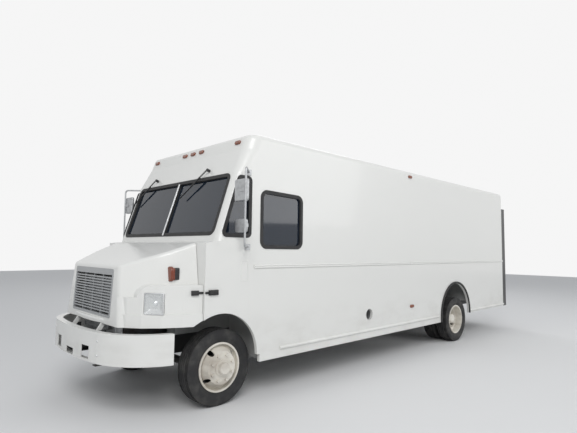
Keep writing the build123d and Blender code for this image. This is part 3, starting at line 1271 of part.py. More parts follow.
def mirror_set():
    """The left mirrors: a flat head and a round-glass head on one bent tube with two wall brackets."""
    top = MIRROR_TUBE_TOP_Z
    low = MIRROR_TUBE_LOW_Z
    foot_y = HALF_WIDTH + 12
    path = FilletPolyline(
        (MIRROR_FOOT_X, foot_y, top), (MIRROR_X, MIRROR_Y, top), (MIRROR_X, MIRROR_Y, low), (MIRROR_FOOT_X, foot_y, low),
        radius=40,
    )
    tube = sweep(Plane(origin=path @ 0, z_dir=path % 0) * Circle(MIRROR_TUBE_R), path=path)
    brackets = [
        block((MIRROR_FOOT_X - 35, MIRROR_FOOT_X + 35), (HALF_WIDTH, HALF_WIDTH + 12), (z - 32, z + 32)) for z in (top, low)
    ]
    frame = tube
    for bracket in brackets:
        frame = frame + bracket
    head_y = MIRROR_Y - MIRROR_HEAD_IN
    front = MIRROR_X - MIRROR_TUBE_R + 3
    for z, width, height, depth in MIRROR_HEADS:
        head = block(
            (front - depth, front), (head_y - width / 2, head_y + width / 2), (z - height / 2, z + height / 2)
        )
        head = fillet(head.edges().filter_by(Axis.X), 24)
        frame = frame + fillet(head.faces().sort_by(Axis.X)[-1].edges(), 12)
        frame = frame + block(
            (front - depth * 0.7, MIRROR_X), (MIRROR_Y - MIRROR_HEAD_IN, MIRROR_Y + MIRROR_TUBE_R), (z - 18, z + 18)
        )
    return frame


def mirror_glass():
    """The left mirrors' two glasses, on the rear faces of their heads."""
    glass = []
    head_y = MIRROR_Y - MIRROR_HEAD_IN
    for z, width, height, depth in MIRROR_HEADS:
        rear = MIRROR_X - MIRROR_TUBE_R + 3 - depth
        pane = block(
            (rear - 3, rear), (head_y - width / 2 + 8, head_y + width / 2 - 8), (z - height / 2 + 8, z + height / 2 - 8)
        )
        glass.append(fillet(pane.edges().filter_by(Axis.X), 18))
    return glass


def lamp_dome(length, width, height):
    """A low rounded lamp lens, base at z=0."""
    lens = Pos(0, 0, height / 2) * Box(length, width, height)
    lens = fillet(lens.edges().filter_by(Axis.Z), min(length, width) * 0.4)
    return fillet(lens.faces().sort_by(Axis.Z)[-1].edges(), height * 0.45)


def roof_lamps():
    """The amber marker lamps on the roof cap's front, and one on each side."""
    rise = ROOF_Z - SEAM_Z
    run = HEADER_X - CAP_FRONT_X
    lean = math.hypot(rise, run)
    normal = Vector(rise / lean, 0, run / lean)
    lamps = []
    x = HEADER_X - run * (ROOF_LAMP_Z - SEAM_Z) / rise
    for across in ROOF_LAMPS:
        plane = Plane(origin=(x, across, ROOF_LAMP_Z), x_dir=(0, 1, 0), z_dir=normal)
        lamps.append(plane * lamp_dome(96, 46, 22))
    for side in (1, -1):
        plane = Plane(origin=(SIDE_ROOF_LAMP_X, side * HALF_WIDTH, SIDE_ROOF_LAMP_Z), x_dir=(1, 0, 0), z_dir=(0, side, 0))
        lamps.append(plane * lamp_dome(96, 46, 20))
        plane = Plane(origin=(SIDE_LAMP_X, side * HALF_WIDTH, SIDE_LAMP_Z), x_dir=(1, 0, 0), z_dir=(0, side, 0))
        lamps.append(plane * lamp_dome(100, 48, 20))
    return lamps


def tail_lamps():
    """The round red tail lamps on the rear sill, and the three small ones over the doors."""
    lamps = []
    rear = BODY_REAR_X - POST_DEPTH + REAR_DOOR_THICK + PANEL_GAP / 2
    for side in (1, -1):
        for across in (HALF_WIDTH - 340, HALF_WIDTH - 200):
            lamps.append(Pos(rear, side * across, 680) * Rot(0, -90, 0) * lamp_dome(106, 106, 22))
    for across in (-200, 0, 200):
        lamps.append(Pos(BODY_REAR_X, across, POST_TOP_Z + 70) * Rot(0, -90, 0) * lamp_dome(46, 96, 20))
    return lamps


def turn_lamp(hood_form):
    """The left turn lamp on the hood's side: a forward-facing lens on a rounded housing, seated on the hood."""
    low_x = TURN_LAMP_X - TURN_LAMP_LENGTH
    half = TURN_LAMP_WIDTH / 2
    height = TURN_LAMP_HEIGHT / 2
    lens = block((TURN_LAMP_X - 26, TURN_LAMP_X), (TURN_LAMP_Y - half, TURN_LAMP_Y + half), (TURN_LAMP_Z - height, TURN_LAMP_Z + height))
    lens = fillet(lens.edges().filter_by(Axis.X), half * 0.9)
    lens = fillet(lens.faces().sort_by(Axis.X)[-1].edges(), 10)
    housing = block(
        (low_x, TURN_LAMP_X - 25), (TURN_LAMP_Y - half - 60, TURN_LAMP_Y + half - 8),
        (TURN_LAMP_Z - height + 14, TURN_LAMP_Z + height - 14),
    )
    housing = fillet(housing.edges().filter_by(Axis.X), 14)
    return max(((lens + housing) - hood_form).solids(), key=lambda solid: solid.volume)


def dashboard():
    """The dashboard across the cab with the steering column and wheel at the driver's side."""
    half = HALF_WIDTH - WALL - SEAT_GAP
    front = DASH_X - WALL - SEAT_GAP
    board = along_y(
        ((front, DOGHOUSE_TOP_Z + 40), (front, COWL_Z - 90), (20, COWL_Z - 70), (-70, COWL_Z - 150), (-60, DOGHOUSE_TOP_Z + 90), (60, DOGHOUSE_TOP_Z + 40)),
        -half, half,
    )
    column_axis = Vector(-0.62, 0, 0.785).normalized()
    centre = Vector(STEERING_X, DRIVER_Y, STEERING_Z)
    plane = Plane(origin=centre, x_dir=(0, 1, 0), z_dir=column_axis)
    wheel = plane * Torus(STEERING_R, STEERING_RIM_R)
    hub = plane * Pos(0, 0, -20) * Cylinder(58, 46)
    column = plane * Pos(0, 0, -170) * Cylinder(34, 290)
    for angle in (90, 210, 330):
        spoke = plane * Rot(0, 0, angle) * Pos(STEERING_R / 2, 0, -6) * Box(STEERING_R, 34, 12)
        wheel = wheel + spoke
    return board + (wheel + hub + column)


def driver_seat():
    """The driver's seat: a cushion and a back, as two plain rounded solids."""
    cushion = fillet(block((SEAT_X - 460, SEAT_X), (DRIVER_Y - 240, DRIVER_Y + 240), (SEAT_Z, SEAT_Z + 110)).edges(), 30)
    back = fillet(
        block((SEAT_X - 530, SEAT_X - 430), (DRIVER_Y - 235, DRIVER_Y + 235), (SEAT_Z + 111, SEAT_Z + 700)).edges(), 30
    )
    return [cushion, back]


def seat_base():
    """The seat's pedestal and its bracket behind the back."""
    post = block((SEAT_X - 360, SEAT_X - 100), (DRIVER_Y - 130, DRIVER_Y + 130), (FLOOR_TOP_Z, SEAT_Z - 20))
    pan = block((SEAT_X - 540, SEAT_X - 20), (DRIVER_Y - 220, DRIVER_Y + 220), (SEAT_Z - 24, SEAT_Z - SEAT_GAP))
    rear = block((SEAT_X - 545, SEAT_X - 530 - SEAT_GAP), (DRIVER_Y - 160, DRIVER_Y + 160), (SEAT_Z - 24, SEAT_Z + 420))
    return post + pan + rear


def splash_panels():
    """The upright splash panels behind the front wheels, at the front ends of the skirts."""
    x = FRONT_HOUSE_X - SHEET
    outer = HALF_WIDTH - WALL
    return block((x, x + SHEET - 2), (FRONT_HOUSE_Y, outer), (SKIRT_Z + 20, RAIL_TOP_Z - SEAT_GAP))


def wheel_side(prefix, side, shapes):
    """Write wheel pieces for one side, mirrored for the right."""
    for node, shape in shapes:
        solids = shape if isinstance(shape, list) else [shape]
        if side < 0:
            solids = [mirror(solid, about=Plane.XZ) for solid in solids]
        save(f"{node}_{prefix}", *solids)


def main():
    """Build every node and write it."""
    os.makedirs("parts", exist_ok=True)
    shell = body_shell()
    windows = window_set()
    cutters = [cutter for cutter, seal, pane in windows]
    save("cab_front", cab_front(shell, cutters))
    save("side_wall_left", *side_wall(shell, 1, cutters + [filler_hole()]))
    save("side_wall_right", *side_wall(shell, -1, cutters + [entry_cutter()]))
    save("window_seals", *[seal for cutter, seal, pane in windows])
    save("cab_glass", *[pane for cutter, seal, pane in windows])
    save("roof_cap", roof_cap())
    save("rear_frame", rear_frame())
    save("rear_posts", *both_sides(rear_posts()))
    save("floor", *floor())
    rails = [rail for bar in side_rails() for rail in both_sides(bar)]
    save("side_rails", *[rail - entry_cutter() for rail in rails])
    save("wheel_flares", *both_sides(wheel_flare()))
    save("splash_panels", *both_sides(splash_panels()))
    save("mirrors", *both_sides(mirror_set()))
    save("mirror_glass", *[pane for glass in mirror_glass() for pane in both_sides(glass)])
    save("marker_lamps", *roof_lamps())
    save("tail_lamps", *tail_lamps())
    save("dashboard", dashboard())
    save("driver_seat", *driver_seat())
    save("seat_base", seat_base())
    save("frame_rails", *frame_rails())
    save("leaf_springs", *both_sides(spring_pack(0, FRONT_SPRING_Z)), *both_sides(spring_pack(REAR_AXLE_X, REAR_SPRING_Z)))
    save("front_axle", front_axle())
    save("rear_axle", rear_axle())
    save("engine_block", engine_block())
    save("radiator", radiator())
    save("drive_shaft", drive_shaft())
    save("fuel_tank", fuel_tank())
    save("front_bumper", front_bumper())
    save("rear_bumper", rear_bumper())
    save("hood_shell", hood_shell())
    save("grille", grille())
    save("headlamps", *both_sides(headlamp()))
    save("turn_lamps", *both_sides(turn_lamp(hood_volume(0))))
    door, pane = entry_door()
    save("entry_door", door)
    save("entry_glass", pane)
    door, pane = rear_door()
    for name, side in (("left", 1), ("right", -1)):
        save(f"rear_door_{name}", door if side > 0 else mirror(door, about=Plane.XZ))
        save(f"rear_glass_{name}", pane if side > 0 else mirror(pane, about=Plane.XZ))
        front_y = FRONT_TRACK / 2
        rear_y = REAR_TRACK / 2
        tyres = [placed_left(REAR_AXLE_X, rear_y + shift * DUAL_SPACING / 2, tyre_ring()) for shift in (-1, 1)]
        wheel_side(name, side, (
            ("knuckle", knuckle()),
            ("tyre_front", placed_left(0, front_y, tyre_ring())),
            ("rim_front", placed_left(0, front_y, front_rim())),
            ("tyres_rear", tyres),
            ("rims_rear", placed_left(REAR_AXLE_X, rear_y, rear_rims())),
        ))


main()
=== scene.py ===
"""A white walk-in step van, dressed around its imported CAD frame."""

from __future__ import annotations

import logging
import math
from dataclasses import dataclass
from enum import Enum
from typing import Callable, Iterable, Sequence

import bpy
from mathutils import Matrix, Vector

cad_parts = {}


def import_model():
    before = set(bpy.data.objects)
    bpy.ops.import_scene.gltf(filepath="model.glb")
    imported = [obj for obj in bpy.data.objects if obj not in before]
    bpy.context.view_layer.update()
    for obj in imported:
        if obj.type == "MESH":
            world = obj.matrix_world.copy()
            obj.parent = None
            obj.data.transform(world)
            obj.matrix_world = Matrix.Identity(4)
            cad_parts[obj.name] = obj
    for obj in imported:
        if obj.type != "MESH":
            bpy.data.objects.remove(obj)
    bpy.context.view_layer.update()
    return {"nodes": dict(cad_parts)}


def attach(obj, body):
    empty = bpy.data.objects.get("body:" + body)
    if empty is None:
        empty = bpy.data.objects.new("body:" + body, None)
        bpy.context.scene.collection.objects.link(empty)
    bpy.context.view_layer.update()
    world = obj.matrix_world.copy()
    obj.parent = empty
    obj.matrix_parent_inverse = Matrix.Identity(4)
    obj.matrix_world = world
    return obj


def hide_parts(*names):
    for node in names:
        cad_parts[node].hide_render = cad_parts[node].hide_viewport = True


LOG = logging.getLogger("step_van")

Triple = tuple[float, float, float]
Pair = tuple[float, float]

# The front axle's place along the frame, and the sizes shared by several sub-assemblies, in metres
FRONT_AXLE_X = 3.3375
REAR_AXLE_X = FRONT_AXLE_X - 5.283
AXLE_Z = 0.4
HALF_WIDTH = 1.18


class Side(Enum):
    """The van's two sides."""

    LEFT = 1
    RIGHT = -1

    @property
    def word(self) -> str:
        """The side's name in lower case."""
        return self.name.lower()


class Along(Enum):
    """The frame's axes, as an unturned cylinder's +Z turned onto each."""

    X = (0.0, math.pi / 2, 0.0)
    Y = (-math.pi / 2, 0.0, 0.0)
    Z = (0.0, 0.0, 0.0)


# Shader maths

class Signal:
    """A number socket that takes part in Python expressions."""

    def __init__(self, shader: "Shader", socket: bpy.types.NodeSocket) -> None:
        """Wrap a socket.

        Args:
            shader: the shader that owns the socket's node.
            socket: an output socket that carries a number.
        """
        self.shader = shader
        self.socket = socket

    def _math(self, operation: str, first: "Value", second: "Value") -> "Signal":
        """Join two values by one Math node.

        Args:
            operation: the Math node's operation.
            first: the first value.
            second: the second value.

        Returns:
            The result.
        """
        return self.shader.node("ShaderNodeMath", {"operation": operation}, {0: first, 1: second})

    def __add__(self, other: "Value") -> "Signal":
        """Sum."""
        return self._math("ADD", self, other)

    def __radd__(self, other: "Value") -> "Signal":
        """Sum with a number on the left."""
        return self._math("ADD", other, self)

    def __sub__(self, other: "Value") -> "Signal":
        """Difference."""
        return self._math("SUBTRACT", self, other)

    def __rsub__(self, other: "Value") -> "Signal":
        """Difference from a number on the left."""
        return self._math("SUBTRACT", other, self)

    def __mul__(self, other: "Value") -> "Signal":
        """Product."""
        return self._math("MULTIPLY", self, other)

    def __rmul__(self, other: "Value") -> "Signal":
        """Product with a number on the left."""
        return self._math("MULTIPLY", other, self)

    def __truediv__(self, other: "Value") -> "Signal":
        """Quotient."""
        return self._math("DIVIDE", self, other)

    def __lt__(self, other: "Value") -> "Signal":
        """One where this value is below the other."""
        return self._math("LESS_THAN", self, other)

    def __gt__(self, other: "Value") -> "Signal":
        """One where this value is above the other."""
        return self._math("GREATER_THAN", self, other)

    def power(self, exponent: float) -> "Signal":
        """This value raised to a power."""
        return self._math("POWER", self, exponent)

    def ramp(self, low: float, high: float) -> "Signal":
        """A smooth rise from 0 to 1 between two values.

        Args:
            low: the value at which the result is 0.
            high: the value at which the result is 1.

        Returns:
            The result.
        """
        return self.shader.node(
            "ShaderNodeMapRange", {"interpolation_type": "SMOOTHSTEP"},
            {0: self, 1: low, 2: high, 3: 0.0, 4: 1.0},
        )


Value = Signal | float


class Shader:
    """One material's node tree, written as Python."""

    def __init__(self, name: str) -> None:
        """Start an empty material.

        Args:
            name: the material's name.
        """
        self.material = bpy.data.materials.new(name)
        self.material.use_nodes = True
        self.tree = self.material.node_tree
        self.tree.nodes.clear()
        self.output = self.tree.nodes.new("ShaderNodeOutputMaterial")
        self.surface = self.tree.nodes.new("ShaderNodeBsdfPrincipled")
        self.tree.links.new(self.surface.outputs[0], self.output.inputs[0])
        self.coordinates = self.tree.nodes.new("ShaderNodeTexCoord").outputs["Object"]

    def _feed(self, socket: bpy.types.NodeSocket, value: object) -> None:
        """Set or link one input socket.

        Args:
            socket: the input socket.
            value: a number, a colour, a socket or a signal.
        """
        if isinstance(value, Signal):
            self.tree.links.new(value.socket, socket)
        elif isinstance(value, bpy.types.NodeSocket):
            self.tree.links.new(value, socket)
        else:
            socket.default_value = value

    def node(
        self, kind: str, settings: dict[str, object], inputs: dict[object, object], out: object = 0
    ) -> Signal:
        """Add a node.

        Args:
            kind: the node's type.
            settings: properties to set before its sockets.
            inputs: values or links by socket name or index.
            out: the output socket's name or index.

        Returns:
            The chosen output as a signal.
        """
        made = self.tree.nodes.new(kind)
        for key, setting in settings.items():
            setattr(made, key, setting)
        for key, value in inputs.items():
            self._feed(made.inputs[key], value)
        return Signal(self, made.outputs[out])

    def axis(self, index: int) -> Signal:
        """One of the object coordinates, 0 to 2 for x to z."""
        return self.node("ShaderNodeSeparateXYZ", {}, {0: self.coordinates}, index)

    def noise(self, scale: float, detail: float = 3.0, stretch: Triple = (1.0, 1.0, 1.0)) -> Signal:
        """Cloudy noise between 0 and 1.

        Args:
            scale: the noise's scale, in cycles a metre.
            detail: how many finer layers it has.
            stretch: a factor on each coordinate.

        Returns:
            The noise.
        """
        place = self.node("ShaderNodeMapping", {}, {"Vector": self.coordinates, "Scale": stretch})
        return self.node("ShaderNodeTexNoise", {}, {"Vector": place, "Scale": scale, "Detail": detail})

    def blend(self, factor: Value, first: object, second: object) -> Signal:
        """Mix two colours.

        Args:
            factor: 0 for the first, 1 for the second.
            first: a colour or a signal.
            second: a colour or a signal.

        Returns:
            The mixed colour.
        """
        return self.node("ShaderNodeMix", {"data_type": "RGBA"}, {0: factor, 6: first, 7: second}, 2)

    def bump(self, height: Signal, distance: float, strength: float = 1.0) -> Signal:
        """A surface normal from a height.

        Args:
            height: the height.
            distance: metres for a height of 1.
            strength: the effect's share.

        Returns:
            The normal.
        """
        return self.node(
            "ShaderNodeBump", {}, {"Height": height, "Distance": distance, "Strength": strength}
        )

    def set(self, **inputs: object) -> "Shader":
        """Set or link sockets of the surface shader, their names written with underscores."""
        for key, value in inputs.items():
            self._feed(self.surface.inputs[key.replace("_", " ")], value)
        return self


def rgb(red: float, green: float, blue: float) -> tuple[float, float, float, float]:
    """An opaque linear colour."""
    return (red, green, blue, 1.0)


# Finishes

@dataclass(frozen=True)
class Paint:
    """Coach paint with faint road grime towards the ground."""

    name: str
    colour: Triple
    roughness: float = 0.32
    coat: float = 0.35
    grime: float = 0.25
    grime_top: float = 1.1
    bare: Triple = (0.30, 0.27, 0.23)

    def make(self) -> bpy.types.Material:
        """The paint's material."""
        shader = Shader(self.name)
        cloud = shader.noise(3.0, 5.0, (1.0, 1.0, 2.0))
        low = 1.0 - shader.axis(2).ramp(0.35, self.grime_top)
        dirt = low * cloud.ramp(0.35, 0.8) * self.grime
        wash = shader.noise(0.9, 3.0).ramp(0.2, 0.8) * 0.06
        base = shader.blend(wash, rgb(*self.colour), rgb(*(c * 0.9 for c in self.colour)))
        wave = shader.noise(2.2, 1.0)
        shader.set(
            Base_Color=shader.blend(dirt, base, rgb(*self.bare)),
            Roughness=self.roughness + cloud * 0.08 + dirt * 0.5,
            Normal=shader.bump(wave, 0.004, 0.25),
            Coat_Weight=self.coat, Coat_Roughness=0.08,
        )
        return shader.material


@dataclass(frozen=True)
class Rubber:
    """Dull rubber with a dusty bloom."""

    name: str
    colour: Triple
    roughness: float = 0.72
    dust: float = 0.25
    scale: float = 14.0

    def make(self) -> bpy.types.Material:
        """The rubber's material."""
        shader = Shader(self.name)
        cloud = shader.noise(self.scale, 5.0)
        fine = shader.noise(self.scale * 30.0, 2.0)
        bloom = cloud.ramp(0.35, 0.8) * self.dust
        shader.set(
            Base_Color=shader.blend(bloom, rgb(*self.colour), rgb(0.13, 0.125, 0.115)),
            Roughness=self.roughness + fine * 0.12, Normal=shader.bump(fine, 0.0006, 0.5),
        )
        return shader.material


@dataclass(frozen=True)
class Glass:
    """Tinted safety glass."""

    name: str
    colour: Triple
    alpha: float = 0.55

    def make(self) -> bpy.types.Material:
        """The glass's material."""
        shader = Shader(self.name)
        haze = shader.noise(5.0, 3.0)
        shader.set(
            Base_Color=rgb(*self.colour), Roughness=0.03 + haze * 0.04, IOR=1.5,
            Alpha=self.alpha + haze * 0.06, Specular_IOR_Level=0.7,
        )
        return shader.material


@dataclass(frozen=True)
class Metal:
    """Bare, cast or plated metal with cloudy wear."""

    name: str
    colour: Triple
    roughness: float = 0.4
    metallic: float = 1.0
    wear: float = 0.3
    scale: float = 22.0
    dark: Triple = (0.05, 0.045, 0.04)

    def make(self) -> bpy.types.Material:
        """The metal's material."""
        shader = Shader(self.name)
        cloud = shader.noise(self.scale, 6.0)
        worn = cloud.ramp(0.4, 0.75) * self.wear
        shader.set(
            Base_Color=shader.blend(worn, rgb(*self.colour), rgb(*self.dark)),
            Metallic=self.metallic, Roughness=self.roughness + cloud * 0.15,
            Normal=shader.bump(cloud, 0.0008, 0.4),
        )
        return shader.material


@dataclass(frozen=True)
class Plastic:
    """Moulded plastic with a fine grain."""

    name: str
    colour: Triple
    roughness: float = 0.45
    grain: float = 0.0003
    coat: float = 0.0

    def make(self) -> bpy.types.Material:
        """The plastic's material."""
        shader = Shader(self.name)
        fine = shader.noise(420.0, 2.0)
        cloud = shader.noise(6.0, 3.0)
        darker = rgb(*(c * 0.75 for c in self.colour))
        tint = shader.blend(cloud.ramp(0.3, 0.8) * 0.15, rgb(*self.colour), darker)
        shader.set(
            Base_Color=tint, Roughness=self.roughness + cloud * 0.06,
            Normal=shader.bump(fine, self.grain, 0.6), Coat_Weight=self.coat,
        )
        return shader.material


@dataclass(frozen=True)
class Lens:
    """A coloured lamp lens with moulded ribs under its skin."""

    name: str
    colour: Triple
    ribs: float = 150.0
    index: int = 1

    def make(self) -> bpy.types.Material:
        """The lens's material."""
        shader = Shader(self.name)
        place = shader.axis(self.index) * (self.ribs * math.tau / 2)
        band = shader.node("ShaderNodeMath", {"operation": "SINE"}, {0: place})
        shade = band * 0.5 + 0.5
        tint = shader.blend(shade, rgb(*self.colour), rgb(*(c * 0.55 for c in self.colour)))
        shader.set(
            Base_Color=tint, Roughness=0.16, Coat_Weight=0.6, Coat_Roughness=0.03,
            Normal=shader.bump(band, 0.0006, 0.4), IOR=1.49,
        )
        return shader.material


@dataclass(frozen=True)
class HousedLens:
    """A coloured lens ahead of a black housing, parted at a place along X."""

    name: str
    colour: Triple
    joint_x: float

    def make(self) -> bpy.types.Material:
        """The lamp's material."""
        shader = Shader(self.name)
        band = shader.node("ShaderNodeMath", {"operation": "SINE"}, {0: shader.axis(2) * 470.0})
        ahead = shader.axis(0) > self.joint_x
        shader.set(
            Base_Color=shader.blend(ahead, rgb(0.020, 0.019, 0.019), rgb(*self.colour)), Roughness=0.22,
            Coat_Weight=0.4, Normal=shader.bump(band * ahead, 0.0005, 0.4), IOR=1.49,
        )
        return shader.material


@dataclass(frozen=True)
class Fabric:
    """Woven seat cloth."""

    name: str
    colour: Triple
    threads: float = 420.0

    def make(self) -> bpy.types.Material:
        """The cloth's material."""
        shader = Shader(self.name)
        warp = shader.node("ShaderNodeMath", {"operation": "SINE"}, {0: shader.axis(0) * self.threads * 3.0})
        place = (shader.axis(1) + shader.axis(2)) * self.threads * 3.0
        weft = shader.node("ShaderNodeMath", {"operation": "SINE"}, {0: place})
        weave = (warp * weft) * 0.5 + 0.5
        shader.set(
            Base_Color=shader.blend(weave, rgb(*self.colour), rgb(*(c * 1.7 for c in self.colour))),
            Roughness=0.9, Normal=shader.bump(weave, 0.0005, 0.7),
        )
        return shader.material


# Modelling

def deselect() -> None:
    """Leave no object selected."""
    bpy.ops.object.select_all(action="DESELECT")


class Piece:
    """One new piece, shaped by edit-mode operators."""

    def __init__(self, obj: bpy.types.Object, name: str) -> None:
        """Take a primitive as the piece's start.

        Args:
            obj: the object just added.
            name: the piece's name.
        """
        self.obj = obj
        obj.name = name
        obj.data.name = name

    @classmethod
    def box(cls, name: str, low: Triple, high: Triple) -> "Piece":
        """A block between two corners.

        Args:
            name: the piece's name.
            low: the lowest corner.
            high: the highest corner.

        Returns:
            The piece.
        """
        deselect()
        middle = [(a + b) / 2 for a, b in zip(low, high)]
        bpy.ops.mesh.primitive_cube_add(size=1.0, location=middle)
        piece = cls(bpy.context.object, name)
        return piece.edit(lambda: bpy.ops.transform.resize(value=[b - a for a, b in zip(low, high)]))

    @classmethod
    def rod(
        cls, name: str, centre: Triple, radius: float, depth: float, along: Along, sides: int = 24
    ) -> "Piece":
        """A round bar.

        Args:
            name: the piece's name.
            centre: its centre.
            radius: its radius.
            depth: its length.
            along: the axis that it follows.
            sides: how many sides its circle has.

        Returns:
            The piece.
        """
        deselect()
        bpy.ops.mesh.primitive_cylinder_add(
            vertices=sides, radius=radius, depth=depth, location=centre, rotation=along.value
        )
        return cls(bpy.context.object, name).settle()

    @classmethod
    def turned(cls, name: str, profile: Sequence[Pair], steps: int) -> "Piece":
        """A ring or disc spun about +Y from an open or closed profile.

        Args:
            name: the piece's name.
            profile: (radius, y) points in order.
            steps: how many steps go round.

        Returns:
            The piece, about the origin.
        """
        deselect()
        radius, offset = profile[0]
        bpy.ops.mesh.primitive_plane_add(size=0.01, location=(0, 0, 0))
        piece = cls(bpy.context.object, name)
        bpy.ops.object.mode_set(mode="EDIT")
        bpy.ops.mesh.select_all(action="SELECT")
        bpy.ops.mesh.merge(type="CENTER")
        bpy.ops.transform.translate(value=(radius, offset, 0))
        for (r0, y0), (r1, y1) in zip(profile, profile[1:]):
            bpy.ops.mesh.extrude_region_move(TRANSFORM_OT_translate={"value": (r1 - r0, y1 - y0, 0)})
        bpy.ops.mesh.select_all(action="SELECT")
        bpy.ops.mesh.spin(steps=steps, angle=math.tau, center=(0, 0, 0), axis=(0, 1, 0))
        bpy.ops.mesh.select_all(action="SELECT")
        bpy.ops.mesh.remove_doubles(threshold=0.00005)
        bpy.ops.mesh.normals_make_consistent(inside=False)
        bpy.ops.object.mode_set(mode="OBJECT")
        return piece

    def edit(self, *steps: Callable[[], object]) -> "Piece":
        """Run operators in edit mode on the whole mesh.

        Args:
            steps: calls that act on what is selected.

        Returns:
            The piece, with its place in its mesh.
        """
        self.active()
        bpy.ops.object.mode_set(mode="EDIT")
        bpy.ops.mesh.select_all(action="SELECT")
        for step in steps:
            step()
        bpy.ops.object.mode_set(mode="OBJECT")
        return self.settle()

    def active(self) -> None:
        """Select this piece alone."""
        deselect()
        self.obj.select_set(True)
        bpy.context.view_layer.objects.active = self.obj

    def settle(self) -> "Piece":
        """Put the object's place, turn and scale into its mesh."""
        self.active()
        bpy.ops.object.transform_apply(location=True, rotation=True, scale=True)
        return self

    def pick(self, test: Callable[[Vector, Vector], bool]) -> None:
        """Enter edit mode with the faces selected that pass a test.

        Args:
            test: says yes to a face's centre and normal.
        """
        self.active()
        mesh = self.obj.data
        for element in (*mesh.vertices, *mesh.edges, *mesh.polygons):
            element.select = False
        for face in mesh.polygons:
            face.select = test(face.center, face.normal)
        bpy.ops.object.mode_set(mode="EDIT")
        bpy.ops.mesh.select_mode(type="FACE")

    def work(self, test: Callable[[Vector, Vector], bool], *steps: Callable[[], object]) -> "Piece":
        """Run operators on the faces that pass a test.

        Args:
            test: says yes to a face's centre and normal.
            steps: calls that act on what is selected.

        Returns:
            The piece.
        """
        self.pick(test)
        for step in steps:
            step()
        bpy.ops.mesh.select_mode(type="VERT")
        bpy.ops.object.mode_set(mode="OBJECT")
        return self

    def sink(self, test: Callable[[Vector, Vector], bool], rim: float, shift: Triple) -> "Piece":
        """Inset the faces that pass a test and push them.

        Args:
            test: says yes to a face's centre and normal.
            rim: the inset's width.
            shift: how far the inner face moves.

        Returns:
            The piece.
        """
        return self.work(
            test,
            lambda: bpy.ops.mesh.inset(thickness=rim, depth=0.0),
            lambda: bpy.ops.mesh.extrude_region_move(TRANSFORM_OT_translate={"value": shift}),
        )

    def bevel(self, width: float, segments: int = 3, angle: float = 0.6) -> "Piece":
        """Round the edges that turn more than an angle.

        Args:
            width: the bevel's width.
            segments: how many steps it has.
            angle: the least turn, in radians.

        Returns:
            The piece.
        """
        self.active()
        tool = self.obj.modifiers.new("round", "BEVEL")
        tool.width = width
        tool.segments = segments
        tool.limit_method = "ANGLE"
        tool.angle_limit = angle
        bpy.ops.object.modifier_apply(modifier=tool.name)
        return self

    def turn(self, angle: float, axis: str, centre: Triple) -> "Piece":
        """Turn the mesh about a point.

        Args:
            angle: the turn in radians, counter-clockwise seen against the axis.
            axis: X, Y or Z.
            centre: the point.

        Returns:
            The piece.
        """
        return self.edit(
            lambda: bpy.ops.transform.rotate(value=-angle, orient_axis=axis, center_override=centre)
        )

    def shift(self, by: Triple) -> "Piece":
        """Move the mesh."""
        return self.edit(lambda: bpy.ops.transform.translate(value=by))

    def smooth(self, angle: float = 0.6) -> "Piece":
        """Shade smooth, keeping edges sharper than an angle."""
        self.active()
        bpy.ops.object.shade_smooth_by_angle(angle=angle)
        return self

    def copy(self, name: str) -> "Piece":
        """A copy with its own mesh.

        Args:
            name: the copy's name.

        Returns:
            The copy.
        """
        self.active()
        bpy.ops.object.duplicate(linked=False)
        return Piece(bpy.context.object, name)

    def mirrored(self, name: str) -> "Piece":
        """A copy on the van's other side.

        Args:
            name: the copy's name.

        Returns:
            The copy, its faces outwards.
        """
        return self.copy(name).edit(
            lambda: bpy.ops.transform.resize(value=(1, -1, 1), center_override=(0, 0, 0)),
            lambda: bpy.ops.mesh.normals_make_consistent(inside=False),
        )

    def join(self, others: Iterable["Piece"]) -> "Piece":
        """Take other pieces into this one's mesh."""
        rest = [other.obj for other in others]
        self.active()
        for other in rest:
            other.select_set(True)
        if rest:
            bpy.ops.object.join()
        return self

    def dress(self, body: str, finish: bpy.types.Material, slot: str = "") -> "Piece":
        """Give the piece its body and material.

        Args:
            body: the CAD body that it rides on.
            finish: its material.
            slot: not used.

        Returns:
            The piece.
        """
        self.obj.data.materials.clear()
        self.obj.data.materials.append(finish)
        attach(self.obj, body)
        return self


# The van's finishes and where they go

